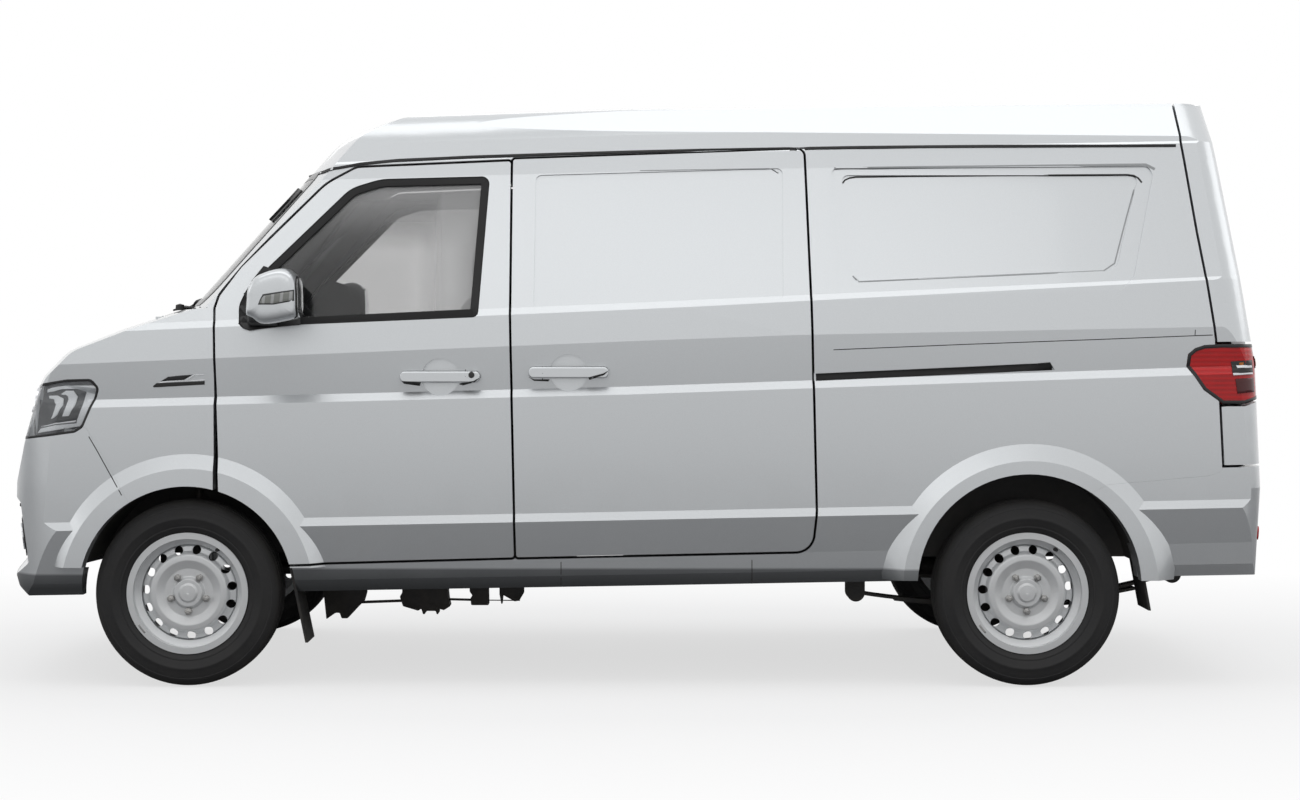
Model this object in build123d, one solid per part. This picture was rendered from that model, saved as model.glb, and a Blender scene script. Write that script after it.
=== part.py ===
# A small cargo van with one cab door, one sliding side door and one rear hatch on its frame
# of two rails, with the engine under the front seats and a live rear axle on leaf springs.
# Millimetres. X runs from the nose (-X) to the tail, Z is up, and the left flank is at -Y.
# The origin lies on the ground, midway between the bumpers and on the centre line.
from build123d import *
import os
from math import atan2, cos, degrees, pi, radians, sin, sqrt

# Driving dimensions of the whole van
wheelbase = 2700.0
front_overhang = 660.0
rear_overhang = 790.0
track = 1380.0
roof_height = 1925.0
lip_half_width = 812.0
wall = 45.0
panel_gap = 8.0
seat_gap = 0.3

nose_x = -(front_overhang + wheelbase + rear_overhang) / 2
front_axle_x = nose_x + front_overhang
rear_axle_x = front_axle_x + wheelbase
tail_x = rear_axle_x + rear_overhang
half_track = track / 2

# Wheel and tyre, 14 inch steel wheel
tyre_radius = 300.0
tyre_width = 175.0
rim_flange_radius = 195.0
bead_radius = 180.0
rim_half_width = 70.0
rim_skin = 5.0
wheel_offset = 37.0
vent_hole_count = 15
vent_hole_radius = 14.0
vent_circle_radius = 139.0
bolt_count = 5
bolt_circle_radius = 60.0
bolt_hole_radius = 7.0
hub_spigot_radius = 30.0
brake_radius = 122.0

# Floor and frame
floor_top = 585.0
floor_thickness = 25.0
rail_height = 100.0
rail_width = 60.0
rail_y = 330.0

# Names of the columns: height over the front axle, amidships and over the rear axle,
# then the half width of the skin there
flank_rows = (
    (300, 323, 346, 745),
    (338, 361, 384, 766),
    (387, 420, 450, 776),
    (512, 539, 565, 803),
    (538, 565, 591, 789),
    (905, 940, 984, 799),
    (930, 965, 1009, 784),
    (1052, 1110, 1158, 797),
    (1151, 1211, 1269, 790),
    (1173, 1233, 1291, 777),
    (1622, 1660, 1684, 695),
    (1667, 1718, 1743, 679),
    (1675, 1726, 1751, 672),
    (1735, 1782, 1808, 655),
)
roof_knee = (1798, 1848, 1868, 618)
roof_edge = (1828, 1876, 1885, 535)
roof_crown = (1870, 1914, roof_height, 0)
# The same columns for the inside of the walls
inner_rows = (
    (-20, -20, -20, 700),
    (387, 420, 450, 700),
    (387, 420, 450, 752),
    (1173, 1233, 1291, 735),
    (1667, 1718, 1743, 638),
    (1725, 1770, 1796, 620),
)
inner_knee = (1775, 1826, 1846, 590)
inner_edge = (1798, 1846, 1858, 515)
inner_crown = (1838, 1882, roof_height - 32, 0)


def height_at(row, x):
    """Height of a row at station x, straight between the axles and amidships."""
    front, middle, rear = row[:3]
    if x < 0:
        return middle + (front - middle) * x / front_axle_x
    return middle + (rear - middle) * x / rear_axle_x


def body_section(x, rows, knee, edge, crown):
    """One closed section across the body: straight flanks, round shoulders, crowned roof."""
    right = [Vector(x, row[3], height_at(row, x)) for row in rows]
    left = [Vector(p.X, -p.Y, p.Z) for p in right]
    knee_z = height_at(knee, x)
    edge_z = height_at(edge, x)
    top = Vector(x, 0, height_at(crown, x))
    edges = [Edge.make_line(left[0], right[0])]
    edges += [Edge.make_line(a, b) for a, b in zip(right, right[1:])]
    right_edge = Vector(x, edge[3], edge_z)
    left_edge = Vector(x, -edge[3], edge_z)
    edges.append(Edge.make_three_point_arc(right[-1], Vector(x, knee[3], knee_z), right_edge))
    edges.append(Edge.make_three_point_arc(right_edge, top, left_edge))
    edges.append(Edge.make_three_point_arc(left_edge, Vector(x, -knee[3], knee_z), left[-1]))
    left.reverse()
    edges += [Edge.make_line(a, b) for a, b in zip(left, left[1:])]
    return Wire(edges)


def body_loft(rows, knee, edge, crown):
    stations = (nose_x - 60, 0, tail_x + 60)
    return Solid.make_loft([body_section(x, rows, knee, edge, crown) for x in stations], True)


# Outlines of the body seen from above, by height: half width, then how far the tail stands
# in front of tail_x. The nose is an arc and the corners are round.
plan_rows = (
    (150, 808, 30),
    (640, 808, 0),
    (1040, 804, 17),
    (1310, 783, 60),
    (1700, 699, 123),
    (1760, 683, 133),
    (1885, 570, 150),
    (2000, 500, 165),
)
nose_radius = 2600.0
tail_radius = 8000.0
nose_corner_radius = 230.0
tail_corner_radius = 110.0


def arc_drop(radius, y):
    return radius - sqrt(radius * radius - y * y)


def plan_outline(z, half_width, tail_in, inset=0.0):
    w = half_width - inset
    front = nose_x - 3 + inset
    rear = tail_x - tail_in - inset
    front_side = front + arc_drop(nose_radius, w)
    rear_side = rear - arc_drop(tail_radius, w)
    with BuildSketch(Plane.XY.offset(z)) as outline:
        with BuildLine():
            ThreePointArc((front_side, -w), (front, 0), (front_side, w))
            Line((front_side, w), (rear_side, w))
            ThreePointArc((rear_side, w), (rear, 0), (rear_side, -w))
            Line((rear_side, -w), (front_side, -w))
        make_face()
        corners = outline.vertices().sort_by(Axis.X)
        fillet(corners[:2], nose_corner_radius - inset)
        fillet(outline.vertices().sort_by(Axis.X)[-2:], tail_corner_radius - inset)
    return outline.sketch


def plan_loft(inset=0.0):
    return loft([plan_outline(*row, inset) for row in plan_rows], ruled=True)


# Centre line of nose, hood, windscreen and roof front: x from the nose, height, corner radius
front_line = (
    (45, 150, 0),
    (45, 284, 0),
    (10, 320, 20),
    (0, 355, 10),
    (36, 398, 8),
    (12, 590, 0),
    (1, 604, 8),
    (2, 655, 60),
    (26, 790, 300),
    (82, 990, 90),
    (165, 1078, 120),
    (340, 1149, 500),
    (530, 1213, 0),
    (568, 1215, 0),
    (572, 1223, 0),
    (1066, 1787, 200),
    (1208, 1846, 250),
    (1500, 1885, 500),
    (2075, 1930, 0),
)
turning_x = nose_x + nose_radius
# Centre line of the tail, from the roof down: distance in front of tail_x, height, radius
tail_line = (
    (430, 1958, 0),
    (150, 1893, 30),
    (111, 1626, 400),
    (33, 1144, 200),
    (15, 1020, 200),
    (0, 640, 200),
    (2, 480, 60),
    (22, 372, 20),
    (60, 355, 0),
    (430, 338, 0),
)


def face_xz(points, radii=0.0):
    """A flat face in the XZ plane through the points, with its corners rounded."""
    if isinstance(radii, (int, float)):
        radii = [radii] * len(points)
    with BuildSketch(Plane.XZ) as outline:
        with BuildLine():
            FilletPolyline(*points, radius=radii, close=True)
        make_face()
    return outline.sketch


def across(points, radii, y_from, y_to):
    """The XZ outline as a solid from y_from to y_to."""
    face = face_xz(points, radii)
    return extrude(face, amount=-(y_to - y_from)).moved(Location((0, y_from, 0)))


def front_cutter(inset=0.0):
    """What lies outside the nose, hood and windscreen: a block less the turned front."""
    points = [(nose_x + x + inset, z - inset) for x, z, r in front_line]
    radii = [r for x, z, r in front_line]
    closed = points + [(turning_x, 2100), (turning_x, 150 - inset)]
    face = face_xz(closed, radii + [0, 0])
    turned = revolve(face, Axis((turning_x, 0, 0), (0, 0, 1)), 360)
    block = Pos((nose_x - 100 + turning_x) / 2, 0, 1000) * Box(
        turning_x - nose_x + 100, 2200, 2100
    )
    return block - turned


def tail_cutter(inset=0.0):
    points = [(tail_x - x - inset, z - inset) for x, z, r in tail_line]
    radii = [r for x, z, r in tail_line]
    outside = [(tail_x - 430 - inset, -100), (tail_x + 200, -100), (tail_x + 200, 2100)]
    outside.append((tail_x - 430 - inset, 2100))
    return across(points + outside, radii + [0] * 4, -1100, 1100)



# Wheel arches: axle, then for opening, lip and outer edge of the flare the circle's centre
# from the axle (x, height) and its radius
arches = (
    (front_axle_x, (5, 304, 343), (9, 298, 405), (9, 392, 424)),
    (rear_axle_x, (-3, 329, 357), (1, 320, 408), (0, 404, 450)),
)
flare_root_y = 762.0


def disc_y(centre_x, centre_z, radius, y_from, y_to):
    """A round bar across the van between two values of y."""
    plane = Plane(origin=(centre_x, y_from, centre_z), x_dir=(1, 0, 0), z_dir=(0, 1, 0))
    return extrude(plane * Circle(radius), amount=y_to - y_from)


def flare(axle_x, lip, outer, side):
    """The arch's proud flare: a skewed cone from its outer edge down to the flat lip."""
    edge_face = Plane(
        origin=(axle_x + outer[0], side * flare_root_y, outer[1]), x_dir=(1, 0, 0), z_dir=(0, side, 0)
    ) * Circle(outer[2] + 22)
    lip_face = Plane(
        origin=(axle_x + lip[0], side * lip_half_width, lip[1]), x_dir=(1, 0, 0), z_dir=(0, side, 0)
    ) * Circle(lip[2])
    cone = loft([edge_face, lip_face], ruled=True)
    x_mid = axle_x + outer[0]
    lower = door_foot_at(x_mid) if axle_x < 0 else height_at(flank_rows[0], x_mid)
    return cone - Pos(x_mid, side * 790, lower - 500) * Box(1400, 200, 1000)


def door_foot_at(x):
    return height_at(flank_rows[2], x)


plan_outside = plan_loft()
front_outside = front_cutter()
tail_outside = tail_cutter()


def inside_outline(solid, plan, front, tail):
    return ((solid & plan) - front) - tail


outer = body_loft(flank_rows, roof_knee, roof_edge, roof_crown)
flares = []
for axle_x, opening, lip, outer_edge in arches:
    for side in (-1, 1):
        flares.append(flare(axle_x, lip, outer_edge, side))
outer = inside_outline(outer, plan_outside, front_outside, tail_outside)
plan_wide = plan_loft(-10)
for piece in flares:
    outer = outer + ((piece & plan_wide) - front_outside)
inner = inside_outline(
    body_loft(inner_rows, inner_knee, inner_edge, inner_crown),
    plan_loft(wall),
    front_cutter(wall),
    tail_cutter(wall),
)
shell = outer - inner
for axle_x, opening, lip, outer_edge in arches:
    for side in (-1, 1):
        near, far = sorted((side * 560, side * 900))
        shell = shell - disc_y(axle_x + opening[0], opening[1], opening[2], near, far)
print("shell", shell.is_valid, shell.volume / 1e9)


nodes = {}


def both_sides(solid):
    return solid, mirror(solid, about=Plane.XZ)


def pieces(shape):
    """The solids of a shape, the largest first, without slivers."""
    found = sorted(shape.solids(), key=lambda s: -s.volume)
    return [s for s in found if s.volume > 0.002 * found[0].volume]


def compound(*shapes):
    solids = []
    for shape in shapes:
        solids += list(shape.solids())
    return solids[0] if len(solids) == 1 else Compound(children=solids)


def box_between(x0, x1, y0, y1, z0, z1):
    return Pos((x0 + x1) / 2, (y0 + y1) / 2, (z0 + z1) / 2) * Box(x1 - x0, y1 - y0, z1 - z0)


def bar(start, end, radius):
    """A round bar between two points."""
    a, b = Vector(*start), Vector(*end)
    return extrude(Plane(origin=a, z_dir=(b - a)) * Circle(radius), amount=(b - a).length)


def left_prism(points, radii=0.0, grow=0.0, y_from=-1000.0, y_to=-300.0):
    """An outline seen from the left, grown or shrunk, as a solid through the left flank."""
    face = face_xz(points, radii)
    if grow:
        face = offset(face, amount=grow, kind=Kind.INTERSECTION)
    return extrude(face, amount=-(y_to - y_from)).moved(Location((0, y_from, 0)))


def full_prism(points, radii=0.0, grow=0.0):
    return left_prism(points, radii, grow, -1000.0, 1000.0)


# Outlines of the panels, seen from the left: x from the front or rear axle, and height
def from_front(points):
    return [(front_axle_x + x, z) for x, z in points]


def from_rear(points):
    return [(rear_axle_x + x, z) for x, z in points]


half_gap = panel_gap / 2
door_outline = from_front(
    [(111, 388), (89, 1216), (102, 1258), (169, 1350), (438, 1622), (535, 1676), (1039, 1698),
     (1038, 1200), (1054, 414), (337, 395)]
)
door_radii = [0, 0, 60, 120, 200, 60, 12, 0, 12, 0]
slide_outline = from_front(
    [(1039, 1704), (1988, 1737), (2003, 1236), (2020, 570), (2007, 434), (1054, 414), (1038, 1200)]
)
slide_radii = [12, 25, 0, 0, 60, 12, 0]
roof_outline = from_front(
    [(-300, 1672), (415, 1672), (532, 1688), (867, 1702), (1977, 1737), (3215, 1750), (3215, 2100),
     (-300, 2100)]
)
tailgate_outline = from_rear(
    [(511, 2100), (511, 1750), (546, 1465), (597, 1114), (609, 907), (620, 710), (900, 716), (900, 2100)]
)
rear_bumper_outline = from_rear(
    [(155, 604), (244, 652), (365, 661), (569, 679), (607, 690), (620, 706), (900, 712),
     (900, 100), (155, 100)]
)
tail_lamp_outline = from_rear(
    [(503, 1030), (508, 1069), (530, 1088), (560, 1098), (616, 1101), (740, 1101), (900, 1098),
     (900, 926), (741, 924), (687, 910), (617, 910), (556, 954)]
)
head_lamp_outline = from_front(
    [(-800, 770), (-540, 794), (-439, 806), (-352, 818), (-327, 834), (-285, 930), (-276, 960),
     (-300, 990), (-381, 988), (-500, 968), (-800, 950)]
)
head_lamp_radii = [0, 0, 30, 20, 25, 30, 22, 25, 60, 30, 0]
front_bumper_outline = from_front(
    [(-800, 100), (60, 100), (60, 480), (-160, 560), (-187, 612), (-318, 836), (-585, 790), (-800, 786)]
)
blank_outline = from_front([(1113, 1207), (1117, 1648), (1917, 1671), (1913, 1242)])
quarter_outline = from_front(
    [(2074, 1652), (2089, 1275), (2134, 1249), (2998, 1275), (3038, 1317), (3115, 1651), (3100, 1677),
     (2080, 1671)]
)
quarter_radii = [20, 30, 30, 40, 40, 25, 20, 20]
quarter_inner = from_front(
    [(2108, 1648), (2119, 1340), (2144, 1304), (2959, 1336), (2988, 1355), (3057, 1610), (3076, 1648)]
)
window_outline = from_front(
    [(169, 1150), (362, 1163), (935, 1187), (969, 1645), (615, 1636), (518, 1606), (193, 1284), (167, 1225)]
)
window_radii = [25, 200, 20, 25, 200, 120, 120, 60]
screen_half_widths = ((1226, 690), (1668, 588))
bumper_joint = 0.3
hood_half_width = 580.0
hood_front_z = 972.0
hood_rear_radius = 2135.0
lamp_inner_y = 430.0
lamp_seam = 0.3
tail_lamp_seam = 0.3

left_side = box_between(nose_x - 50, tail_x + 50, -1000, -0.001, 0, 2100)
shell_left = shell & left_side


def skin_moved(dx, dy, dz):
    return outer.moved(Location((dx, dy, dz)))


# Recessed blanks in the sliding door and the quarter panel
blank_depth = 5.0
quarter_depth = 6.0


def recess(outline, radii, depth):
    return left_prism(outline, radii) - skin_moved(0, depth, 0)


# Front door and its opening
door_blank = left_prism(door_outline, door_radii, -half_gap)
door_hole = left_prism(door_outline, door_radii, half_gap)
window_hole = left_prism(window_outline, window_radii)
door_left = (shell_left & door_blank) - window_hole
glass_band = skin_moved(0, 14, 0) - skin_moved(0, 19, 0)
door_glass = glass_band & left_prism(window_outline, window_radii, -seat_gap)

# Sliding door
slide_blank = left_prism(slide_outline, slide_radii, -half_gap)
slide_hole = left_prism(slide_outline, slide_radii, half_gap)
slide_left = (shell_left & slide_blank) - recess(blank_outline, 20, blank_depth)

# Door handles: a bar across a round cup in the skin
handle_length = 256.0
handle_height = 36.0
handle_proud = 24.0
cup_radius = 60.0
cup_depth = 15.0
handle_skin_y = 788.0
handle_spots = {"door": (front_axle_x + 815, 996), "slide": (front_axle_x + 1226, 1010)}


def handle(x, z):
    """The grip with rounded ends, its two feet on the skin either side of the cup."""
    grip = box_between(
        x - handle_length / 2, x + handle_length / 2, -handle_skin_y - handle_proud,
        -handle_skin_y - handle_proud + 13, z - handle_height / 2, z + handle_height / 2,
    )
    grip = fillet(grip.edges().filter_by(Axis.Y), 15)
    grip = fillet(grip.faces().sort_by(Axis.Y)[0].edges(), 5)
    for end in (-1, 1):
        foot_x = x + end * (handle_length / 2 - 30)
        foot = box_between(
            foot_x - 26, foot_x + 26, -handle_skin_y - handle_proud + 10, -handle_skin_y + 15,
            z - handle_height / 2 + 3, z + handle_height / 2 - 3,
        )
        grip += fillet(foot.edges().filter_by(Axis.Y), 12)
    return grip


def handle_cup(x, z):
    return disc_y(x, z, cup_radius, -900, -handle_skin_y + cup_depth)


door_left = (door_left - handle_cup(*handle_spots["door"])) + handle(*handle_spots["door"])
slide_left = (slide_left - handle_cup(*handle_spots["slide"])) + handle(*handle_spots["slide"])

# Slot of the sliding door's middle rail in the quarter panel
slot_outline = from_rear([(-720, 981), (-720, 1007), (67, 1043), (82, 1018)])
slot_depth = 24.0
rail_slot = left_prism(slot_outline, 0, 0, -1000, -784 + slot_depth)

# Regions of the fixed panels
screen_points = [(-w, z) for z, w in screen_half_widths] + [(w, z) for z, w in reversed(screen_half_widths)]


def screen_prism(grow=0.0):
    with BuildSketch(Plane.YZ.offset(nose_x)) as outline:
        with BuildLine():
            FilletPolyline(*screen_points, radius=60, close=True)
        make_face()
        if grow:
            offset(amount=grow, kind=Kind.INTERSECTION)
    return extrude(outline.sketch, amount=1500)


front_clip = box_between(nose_x - 50, front_axle_x + 91, -1000, 1000, 0, 1219)
roof_block = full_prism(roof_outline)
tailgate_hole = full_prism(tailgate_outline, 0, half_gap)
lamp_hole_rear = left_prism(tail_lamp_outline, 0, tail_lamp_seam, -950, -605)
side_left = shell_left & box_between(nose_x, tail_x, -1000, -300, 0, 2100)
for cutter in (
    door_hole,
    slide_hole,
    roof_block,
    front_clip,
    tailgate_hole,
    left_prism(rear_bumper_outline, 0, bumper_joint),
    screen_prism(seat_gap),
    recess(quarter_outline, quarter_radii, quarter_depth),
    recess(quarter_inner, 20, quarter_depth + 6),
    rail_slot,
):
    side_left = side_left - cutter
# The flank behind the cab and the pillar before it, then the lamp's seat in the flank
flank_piece, pillar_piece = pieces(side_left)
side_left = compound(flank_piece - lamp_hole_rear, pillar_piece)
roof_panel = (shell & roof_block) - tailgate_hole - screen_prism(seat_gap)
windshield = ((outer - skin_moved(7, 0, -5)) & screen_prism()) & box_between(
    nose_x, 0, -1000, 1000, 1000, 1700
)

# Front clip: hood, fenders, cowl, bumper, grille and lamps
hood_drum = Pos(turning_x, 0, 1000) * Cylinder(hood_rear_radius, 2000)
hood_zone = box_between(nose_x - 50, -1000, -hood_half_width, hood_half_width, hood_front_z, 1400)
hood = (shell & hood_zone & front_clip) - hood_drum
hood_hole = (
    box_between(
        nose_x - 50, -1000, -hood_half_width - panel_gap, hood_half_width + panel_gap,
        hood_front_z - panel_gap, 1400,
    )
    - Pos(turning_x, 0, 1000) * Cylinder(hood_rear_radius - panel_gap, 2000)
)
cowl = (shell & front_clip & box_between(nose_x, 0, -hood_half_width, hood_half_width, 1000, 1400)) & (
    Pos(turning_x, 0, 1000) * Cylinder(hood_rear_radius - panel_gap, 2000)
)
# Two hinges at the hood's rear corners: a barrel of the hood in a notch of the cowl
hood_hinge_x = front_axle_x - 117
hood_hinge_z = 1189.0
hood_hinge_y = (540.0, 570.0)
hood_hinge_radius = 5.0
for side in (-1, 1):
    y_low, y_high = sorted(side * y for y in hood_hinge_y)
    hood += disc_y(hood_hinge_x, hood_hinge_z, hood_hinge_radius, y_low, y_high)
    hood += box_between(hood_hinge_x - 24, hood_hinge_x, y_low, y_high, hood_hinge_z - 5, hood_hinge_z + 2)
    notch = disc_y(hood_hinge_x, hood_hinge_z, hood_hinge_radius + 5, y_low - 5, y_high + 5)
    cowl = cowl - notch
head_lamp_left = (
    shell_left & left_prism(head_lamp_outline, head_lamp_radii, 0, -1000, -lamp_inner_y)
) - hood_hole
lamp_hole_front = left_prism(head_lamp_outline, head_lamp_radii, lamp_seam, -1000, -lamp_inner_y + lamp_seam)
bumper_zone = full_prism(front_bumper_outline)
bumper_zone_wide = full_prism(front_bumper_outline, 0, bumper_joint)
grille_zone = box_between(nose_x - 50, -1600, -lamp_inner_y, lamp_inner_y, 700, hood_front_z - panel_gap)
fender_left = shell_left & front_clip
for cutter in (
    door_hole,
    hood_hole,
    bumper_zone_wide,
    lamp_hole_front,
    grille_zone,
    box_between(-3000, 3000, -hood_half_width - 0.001, 3000, 1000, 1400),
):
    fender_left = fender_left - cutter
lower_grille_zone = box_between(nose_x - 50, -1600, -520, 520, 404, 588)
front_bumper = (shell & bumper_zone & front_clip) - lower_grille_zone
front_bumper = front_bumper - lamp_hole_front - mirror(lamp_hole_front, about=Plane.XZ)
slat_gap = 16.0
slat_pitch = 26.0


def slotted(zone, y_half, z_low, z_high):
    """A grille insert: its zone of the shell with rows of slots between slats."""
    insert = shell & zone
    z = z_low + slat_pitch / 2
    while z + slat_gap < z_high:
        insert = insert - box_between(nose_x - 50, -1600, -y_half + 14, y_half - 14, z, z + slat_gap)
        z += slat_pitch
    return insert


upper_grille = slotted(
    box_between(nose_x - 50, -1600, -lamp_inner_y + seat_gap, lamp_inner_y - seat_gap, 770, hood_front_z - panel_gap)
    - bumper_zone_wide,
    lamp_inner_y,
    800,
    hood_front_z - panel_gap,
)
lower_grille = slotted(
    box_between(nose_x - 50, -1600, -520 + seat_gap, 520 - seat_gap, 404.3, 587.7), 520, 408, 587
)

# Rear: bumper, hatch, its glass, lamps
rear_bumper = (
    shell & full_prism(rear_bumper_outline) & box_between(rear_axle_x + 60, tail_x + 50, -1000, 1000, 0, 720)
)
tailgate = shell & full_prism(tailgate_outline, 0, -half_gap)
tailgate = tailgate - full_prism(rear_bumper_outline, 0, half_gap)
lamp_clear = left_prism(tail_lamp_outline, 0, panel_gap, -1000, -610 + panel_gap)
tailgate = tailgate - lamp_clear - mirror(lamp_clear, about=Plane.XZ)
hinge_x = rear_axle_x + 511
hinge_z = roof_height - 6
lamp_far = 1016.0
swing_drum = disc_y(hinge_x, hinge_z, lamp_far + 8, -1000, 1000)
under_lamp = box_between(rear_axle_x + 600, tail_x + 50, -1000, -600, 850, 1000) & swing_drum
tailgate = tailgate - under_lamp - mirror(under_lamp, about=Plane.XZ)
rear_window = [(-560, 1250), (560, 1250), (515, 1640), (-515, 1640)]


def rear_window_prism(grow=0.0):
    with BuildSketch(Plane.YZ.offset(tail_x - 350)) as outline:
        with BuildLine():
            FilletPolyline(*rear_window, radius=50, close=True)
        make_face()
        if grow:
            offset(amount=grow, kind=Kind.INTERSECTION)
    return extrude(outline.sketch, amount=500)


tailgate = tailgate - rear_window_prism()
# Two hinges at the roof's rear edge: a barrel of the hatch between two of the roof
hinge_radius = 6.0
hinge_barrel = 30.0
for side in (-1, 1):
    y = side * 150
    middle = disc_y(hinge_x, hinge_z, hinge_radius, y - hinge_barrel / 2, y + hinge_barrel / 2)
    relief = disc_y(hinge_x, hinge_z, hinge_radius + 1, y - hinge_barrel / 2 - seat_gap, y + hinge_barrel / 2 + seat_gap)
    lug = box_between(hinge_x, hinge_x + 12, y - hinge_barrel / 2, y + hinge_barrel / 2, hinge_z - 8, hinge_z - 1)
    tailgate += middle + lug
    roof_panel = roof_panel - relief
    for end in (-1, 1):
        y_low, y_high = sorted((y + end * (hinge_barrel / 2 + seat_gap), y + end * 1.5 * hinge_barrel))
        barrel = disc_y(hinge_x, hinge_z, hinge_radius, y_low, y_high)
        barrel += box_between(hinge_x - 12, hinge_x, y_low, y_high, hinge_z - 8, hinge_z - 1)
        tailgate = tailgate - disc_y(hinge_x, hinge_z, hinge_radius + 1, y_low - 1, y_high + 1)
        tailgate = tailgate + middle
        roof_panel += barrel
tailgate_glass = (skin_moved(-9, 0, 0) - skin_moved(-14, 0, 0)) & rear_window_prism(-seat_gap)
tail_lamp_left = shell_left & left_prism(tail_lamp_outline, 0, 0, -1000, -612)

# Screw holes: front and rear plates, and four points for roof bars
plate_hole_radius = 3.0
plate_hole_y = 150.0
front_plate_z = 710.0
rear_plate_z = 930.0
roof_bar_xs = (-300.0, 1200.0)
roof_bar_y = 500.0
roof_bar_radius = 4.25


def bar_x(x_from, x_to, y, z, radius):
    return bar((x_from, y, z), (x_to, y, z), radius)


for side in (-1, 1):
    front_bumper = front_bumper - bar_x(nose_x - 50, nose_x + 150, side * plate_hole_y, front_plate_z, plate_hole_radius)
    tailgate = tailgate - bar_x(tail_x - 150, tail_x + 50, side * plate_hole_y, rear_plate_z, plate_hole_radius)
    for x in roof_bar_xs:
        roof_panel = roof_panel - bar((x, side * roof_bar_y, 1750), (x, side * roof_bar_y, 2000), roof_bar_radius)

print("panels cut")


for name, shape in (
    ("front_door", door_left),
    ("door_glass", door_glass),
    ("slide_door", slide_left),
    ("side_panel", side_left),
    ("front_fender", fender_left),
):
    left, right = both_sides(compound(*pieces(shape)))
    nodes[name + "_left"] = left
    nodes[name + "_right"] = right
nodes["roof_panel"] = roof_panel
nodes["windshield"] = windshield
nodes["hood"] = hood
nodes["cowl"] = cowl
nodes["front_bumper"] = front_bumper
nodes["front_grille"] = compound(upper_grille, lower_grille)
nodes["headlamps"] = compound(*both_sides(head_lamp_left))
nodes["rear_bumper"] = rear_bumper
nodes["tailgate"] = tailgate
nodes["tailgate_glass"] = tailgate_glass
nodes["tail_lamps"] = compound(*both_sides(tail_lamp_left))


# Wheels: one tyre and one pressed steel rim with a ring of round vents, modelled about Y
def turned(points, radii=0.0):
    """A ring turned about the Y axis from points of radius and y."""
    if isinstance(radii, (int, float)):
        radii = [radii] * len(points)
    with BuildSketch(Plane.XY) as outline:
        with BuildLine():
            FilletPolyline(*points, radius=radii, close=True)
        make_face()
    return revolve(outline.sketch, Axis.Y, 360)


half_tyre = tyre_width / 2
tyre_points = [
    (bead_radius + 0.3, -rim_half_width + 8.5), (rim_flange_radius + 2, -rim_half_width + 8.5),
    (tyre_radius - 62, -half_tyre), (tyre_radius - 12, -half_tyre + 12), (tyre_radius, -half_tyre + 38),
    (tyre_radius, half_tyre - 38), (tyre_radius - 12, half_tyre - 12), (tyre_radius - 62, half_tyre),
    (rim_flange_radius + 2, rim_half_width - 8.5), (bead_radius + 0.3, rim_half_width - 8.5),
    (bead_radius + 14, rim_half_width - 24), (tyre_radius - 70, half_tyre - 14),
    (tyre_radius - 22, half_tyre - 22), (tyre_radius - 14, 0), (tyre_radius - 22, -half_tyre + 22),
    (tyre_radius - 70, -half_tyre + 14), (bead_radius + 14, -rim_half_width + 24),
]
tyre_radii = [2, 8, 50, 10, 30, 30, 10, 50, 8, 2, 4, 40, 8, 0, 8, 40, 4]
tyre_local = turned(tyre_points, tyre_radii)
rim_points = [
    (rim_flange_radius, -rim_half_width), (rim_flange_radius, -rim_half_width + 7),
    (bead_radius, -rim_half_width + 8), (bead_radius, -rim_half_width + 30),
    (bead_radius - 20, -rim_half_width + 42), (bead_radius - 20, rim_half_width - 52),
    (bead_radius, rim_half_width - 38), (bead_radius, rim_half_width - 8),
    (rim_flange_radius, rim_half_width - 7), (rim_flange_radius, rim_half_width),
    (bead_radius - rim_skin, rim_half_width), (bead_radius - rim_skin, rim_half_width - 36),
    (bead_radius - 20 - rim_skin, rim_half_width - 50), (bead_radius - 20 - rim_skin, -rim_half_width + 40),
    (bead_radius - rim_skin, -rim_half_width + 28), (bead_radius - rim_skin, -rim_half_width),
]
rim_barrel = turned(rim_points)
# The disc: radius, then how far its outer face stands outboard of the wheel's centre plane
disc_profile = (
    (hub_spigot_radius + 0.3, 56, 0), (44, 56, 4), (52, wheel_offset + rim_skin, 4), (78, wheel_offset + rim_skin, 8),
    (104, 52, 12), (124, 50, 12), (132, 32, 5), (150, 27, 5), (bead_radius - 20 - rim_skin + 1, 10, 0),
)
disc_points = [(r, -y) for r, y, fillet_radius in disc_profile]
disc_points += [(r, -y + rim_skin) for r, y, fillet_radius in reversed(disc_profile)]
disc_radii = [fr for r, y, fr in disc_profile] + [fr for r, y, fr in reversed(disc_profile)]
rim_disc = turned(disc_points, disc_radii)
for hole in range(vent_hole_count):
    turn = radians(8.4 + 360 / vent_hole_count * hole)
    rim_disc = rim_disc - disc_y(
        vent_circle_radius * cos(turn), vent_circle_radius * sin(turn), vent_hole_radius, -60, 0
    )
for hole in range(bolt_count):
    turn = radians(90 + 36 + 360 / bolt_count * hole)
    rim_disc = rim_disc - disc_y(
        bolt_circle_radius * cos(turn), bolt_circle_radius * sin(turn), bolt_hole_radius, -60, 0
    )
rim_cap = turned([(0, -62), (25, -61), (hub_spigot_radius + 2, -56), (0, -56)])
rim_local = rim_barrel + rim_disc + rim_cap

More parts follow.
